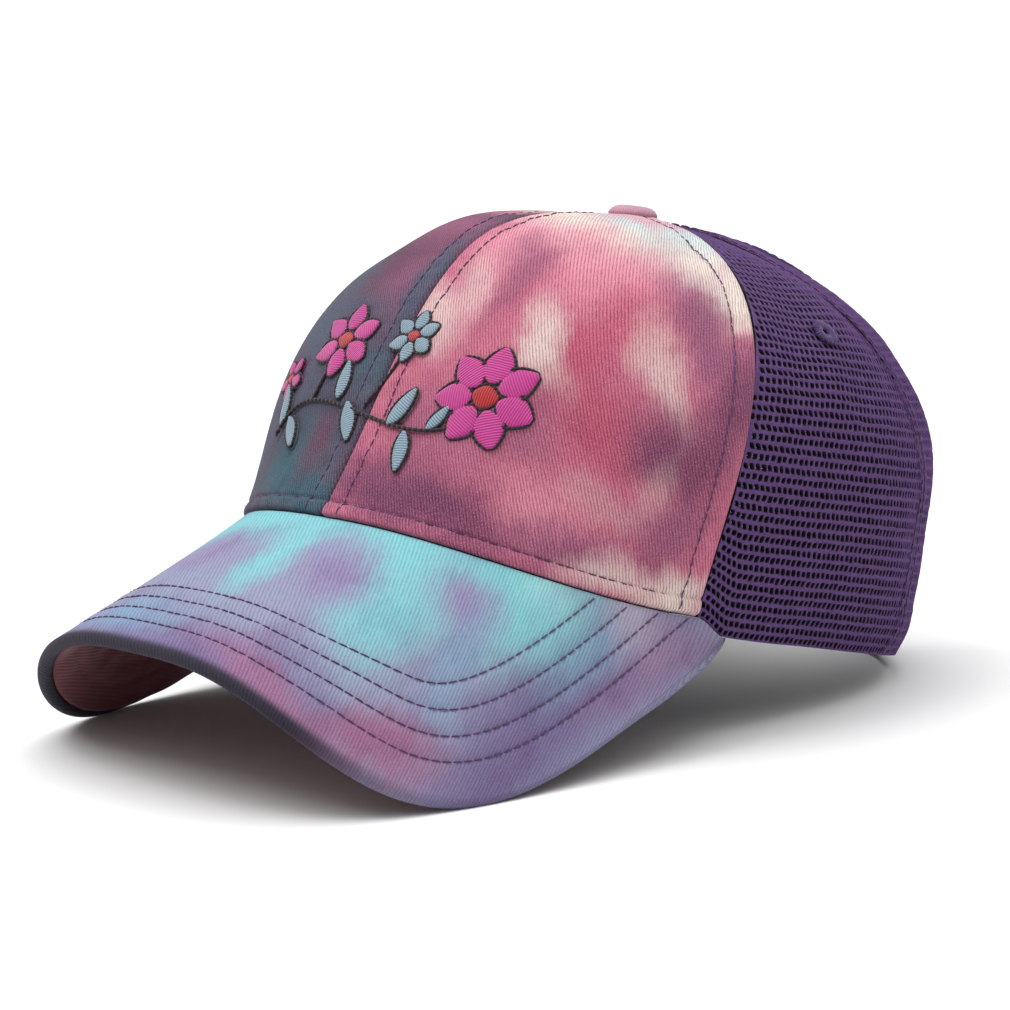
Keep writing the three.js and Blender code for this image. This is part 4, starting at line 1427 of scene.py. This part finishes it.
def back_stitches():
    parts = []
    climbs = np.linspace(0.01, TOP_CLIMB - 0.03, 160)
    for shift in (-2.4, 2.4):
        seam = seam_angle(BACK_SEAM, climbs) + width_angle(shift, QUARTER, climbs)
        run = stitches(*on_crown(seam, climbs, 0.15), radius=0.2)
        parts += [run, mirrored(run)]
    sides, climbs = arch_run(BINDING_WIDTH * BINDING_STITCH, 120)
    for lift in (BINDING_PROUD, -MESH_THICKNESS - BINDING_PROUD):
        path, out = on_crown(back_angle(sides, climbs), climbs, lift)
        run = stitches(path, out if lift > 0 else -out, radius=0.2)
        parts += [run, mirrored(run)]
    for height in (STRAP_STITCH, STRAP_HEIGHT - STRAP_STITCH):
        climb = climb_of_arc(math.pi, height)
        end = float(back_angle(STRAP_HALF_LENGTH - 3, climb))
        angles = np.linspace(end, 2 * math.pi - end, 160)
        parts.append(stitches(*on_crown(angles, climb, 0.05 - STRAP_DEPTH), radius=0.2))
    add_threads("back_stitches", parts, CLOTH["thread"])


back_stitches()


# Embroidery: a sprig of flowers and leaves

MAGENTA = satin("satin_magenta", colour(222, 62, 160))
STEEL = satin("satin_steel_blue", colour(150, 178, 196))
RED = satin("satin_red", colour(206, 34, 40))
INK = yarn("outline_thread", colour(46, 32, 40), 0.5)
EMBROIDERY_LIFT = 0.5
LEAF_PUFF = 0.9


def raised(across, height, lift):
    angles, climbs = cloth_to_crown(across, height)
    return crown_point(angles, climbs, -np.asarray(lift))


def satin_leaf(base, turn, length, width):
    """A leaf or petal of laid thread: its points and faces, its cloth coordinates and its outline."""
    along = np.linspace(0, 1, 14)[:, None]
    across = np.linspace(-1, 1, 9)[None]
    half = width / 2 * np.sin(math.pi * (0.04 + 0.92 * along**0.85)) ** 0.75
    x, y = along * length + across * 0, half * across
    s = base[0] + x * math.cos(turn) - y * math.sin(turn)
    h = base[1] + x * math.sin(turn) + y * math.cos(turn)
    dome = EMBROIDERY_LIFT + LEAF_PUFF * np.sqrt(np.clip(1 - across**2, 0, 1)) * np.ones_like(x)
    points, faces, _ = shell(raised(s, h, dome), raised(s, h, np.full(s.shape, -0.3)))
    border = [np.concatenate([grid[:, 0], grid[1:, -1][::-1]]) for grid in (s, h)]
    return (points, faces), both_sides(np.stack([x, y], -1)), border


def cord_line(across, height, radius=0.5, pitch=1.5):
    """An outline of short, close stitches."""
    angles, climbs = cloth_to_crown(np.asarray(across), np.asarray(height))
    path = crown_point(angles, climbs, np.full(len(angles), -EMBROIDERY_LIFT - 0.1))
    return stitches(path, crown_normal(angles, climbs), pitch, radius, 1.15)


def sprig():
    tones = {"magenta": MAGENTA, "steel": STEEL, "red": RED}
    fills = {kind: [] for kind in tones}
    flats = {kind: [] for kind in tones}
    lines = []

    def leaf(kind, base, degrees, length, width):
        part, flat, border = satin_leaf(base, math.radians(degrees), length, width)
        fills[kind].append(part)
        flats[kind].append(flat)
        lines.append(cord_line(*(np.append(side, side[0]) for side in border)))

    def flower(kind, s, h, radius, petals, start):
        for k in range(petals):
            degrees = start + 360 * k / petals
            turn = math.radians(degrees)
            step = 0.28 * radius
            base = (s + step * math.cos(turn), h + step * math.sin(turn))
            leaf(kind, base, degrees, radius * 0.74, radius * 0.66)
        leaf("red", (s - radius * 0.26, h), 0, radius * 0.52, radius * 0.52)

    def stem(points):
        s, h = np.array(points, float).T
        t = np.linspace(0, 1, len(s))
        fine = np.linspace(0, 1, 40)
        fit_s, fit_h = np.polyfit(t, s, 3), np.polyfit(t, h, 3)
        lines.append(cord_line(np.polyval(fit_s, fine), np.polyval(fit_h, fine), 0.62, 1.9))

    stem([(-42, 24), (-28, 33), (-8, 34), (14, 28), (34, 34)])
    stem([(-26, 34), (-25, 40), (-24, 45), (-22, 50)])
    stem([(-2, 33), (1, 40), (3, 46), (4, 52)])
    for s, h, degrees, length in [
        (-40, 27, 108, 13),
        (-35, 29, -52, 12),
        (-14, 35, 98, 12),
        (-9, 34, -62, 13),
        (10, 29, 66, 13),
        (17, 28, -78, 12),
        (24, 30, 60, 9),
    ]:
        leaf("steel", (s, h), degrees, length, length * 0.44)
    flower("magenta", -22, 54, 12, 6, 90)
    flower("steel", 5, 57, 8.5, 6, 30)
    flower("magenta", 38, 43, 15, 7, 90)
    flower("magenta", -45, 42, 7, 5, 60)
    for kind, parts in fills.items():
        points, faces = joined(parts)
        cloth = np.concatenate(flats[kind])
        add_piece(f"sprig_{kind}", points, faces, [tones[kind]], (), cloth)
    add_threads("sprig_outline", lines, INK)


sprig()


# Floor, light and camera


def floor_and_world():
    mesh = bpy.data.meshes.new("floor")
    size = 25.0
    corners = [(-size, -size, 0), (size, -size, 0), (size, size, 0), (-size, size, 0)]
    mesh.from_pydata(corners, [], [(0, 1, 2, 3)])
    floor = bpy.data.objects.new("floor", mesh)
    bpy.context.collection.objects.link(floor)
    material = bpy.data.materials.new("pale_floor")
    material.use_nodes = True
    shader = material.node_tree.nodes["Principled BSDF"]
    shader.inputs["Base Color"].default_value = (0.86, 0.86, 0.86, 1)
    shader.inputs["Roughness"].default_value = 0.9
    shader.inputs["Specular IOR Level"].default_value = 0.1
    mesh.materials.append(material)
    world = bpy.data.worlds.new("studio")
    world.use_nodes = True
    nodes, links = world.node_tree.nodes, world.node_tree.links
    parts = nodes.new("ShaderNodeSeparateXYZ")
    links.new(nodes.new("ShaderNodeTexCoord").outputs["Generated"], parts.inputs[0])
    ramp = nodes.new("ShaderNodeValToRGB")
    ramp.color_ramp.interpolation = "EASE"
    steps = [(0.0, 1.0), (0.04, 1.0), (0.12, 0.3), (0.45, 0.3), (0.75, 0.95)]
    for k, (where, light) in enumerate(steps):
        stop = ramp.color_ramp.elements[k] if k < 2 else ramp.color_ramp.elements.new(where)
        stop.position = where
        stop.color = (light, light, light, 1)
    links.new(parts.outputs["Z"], ramp.inputs[0])
    links.new(ramp.outputs[0], nodes["Background"].inputs["Color"])
    bpy.context.scene.world = world


def sun(name, toward, strength, spread):
    data = bpy.data.lights.new(name, "SUN")
    data.energy = strength
    data.angle = math.radians(spread)
    light = bpy.data.objects.new(name, data)
    light.rotation_euler = Vector(toward).to_track_quat("Z", "Y").to_euler()
    bpy.context.collection.objects.link(light)


CAMERA_AZIMUTH = math.radians(45.905)
CAMERA_ELEVATION = math.radians(9.948)
CAMERA_ROLL = math.radians(-1.078)
CAMERA_DISTANCE = 0.9804
CAMERA_TARGET = Vector((-0.0151, 0.016, 0.05465))
CAMERA_LENS = 118.08


def camera():
    data = bpy.data.cameras.new("camera")
    data.lens = CAMERA_LENS
    data.sensor_width = 36
    data.sensor_fit = "HORIZONTAL"
    data.clip_start = 0.05
    data.clip_end = 30
    back = Vector(
        (
            math.sin(CAMERA_AZIMUTH) * math.cos(CAMERA_ELEVATION),
            -math.cos(CAMERA_AZIMUTH) * math.cos(CAMERA_ELEVATION),
            math.sin(CAMERA_ELEVATION),
        )
    )
    right = Vector((math.cos(CAMERA_AZIMUTH), math.sin(CAMERA_AZIMUTH), 0))
    up = back.cross(right)
    rolled_right = right * math.cos(CAMERA_ROLL) + up * math.sin(CAMERA_ROLL)
    rolled_up = up * math.cos(CAMERA_ROLL) - right * math.sin(CAMERA_ROLL)
    turn = Matrix((rolled_right, rolled_up, back)).transposed().to_4x4()
    obj = bpy.data.objects.new("camera", data)
    obj.matrix_world = Matrix.Translation(CAMERA_TARGET + back * CAMERA_DISTANCE) @ turn
    bpy.context.collection.objects.link(obj)
    bpy.context.scene.camera = obj


floor_and_world()
sun("top", (0.0, 0.1, 1.0), 1.6, 60)
sun("key", (-0.35, -0.45, 1.0), 1.0, 35)
camera()
bpy.context.scene.view_settings.view_transform = "Standard"
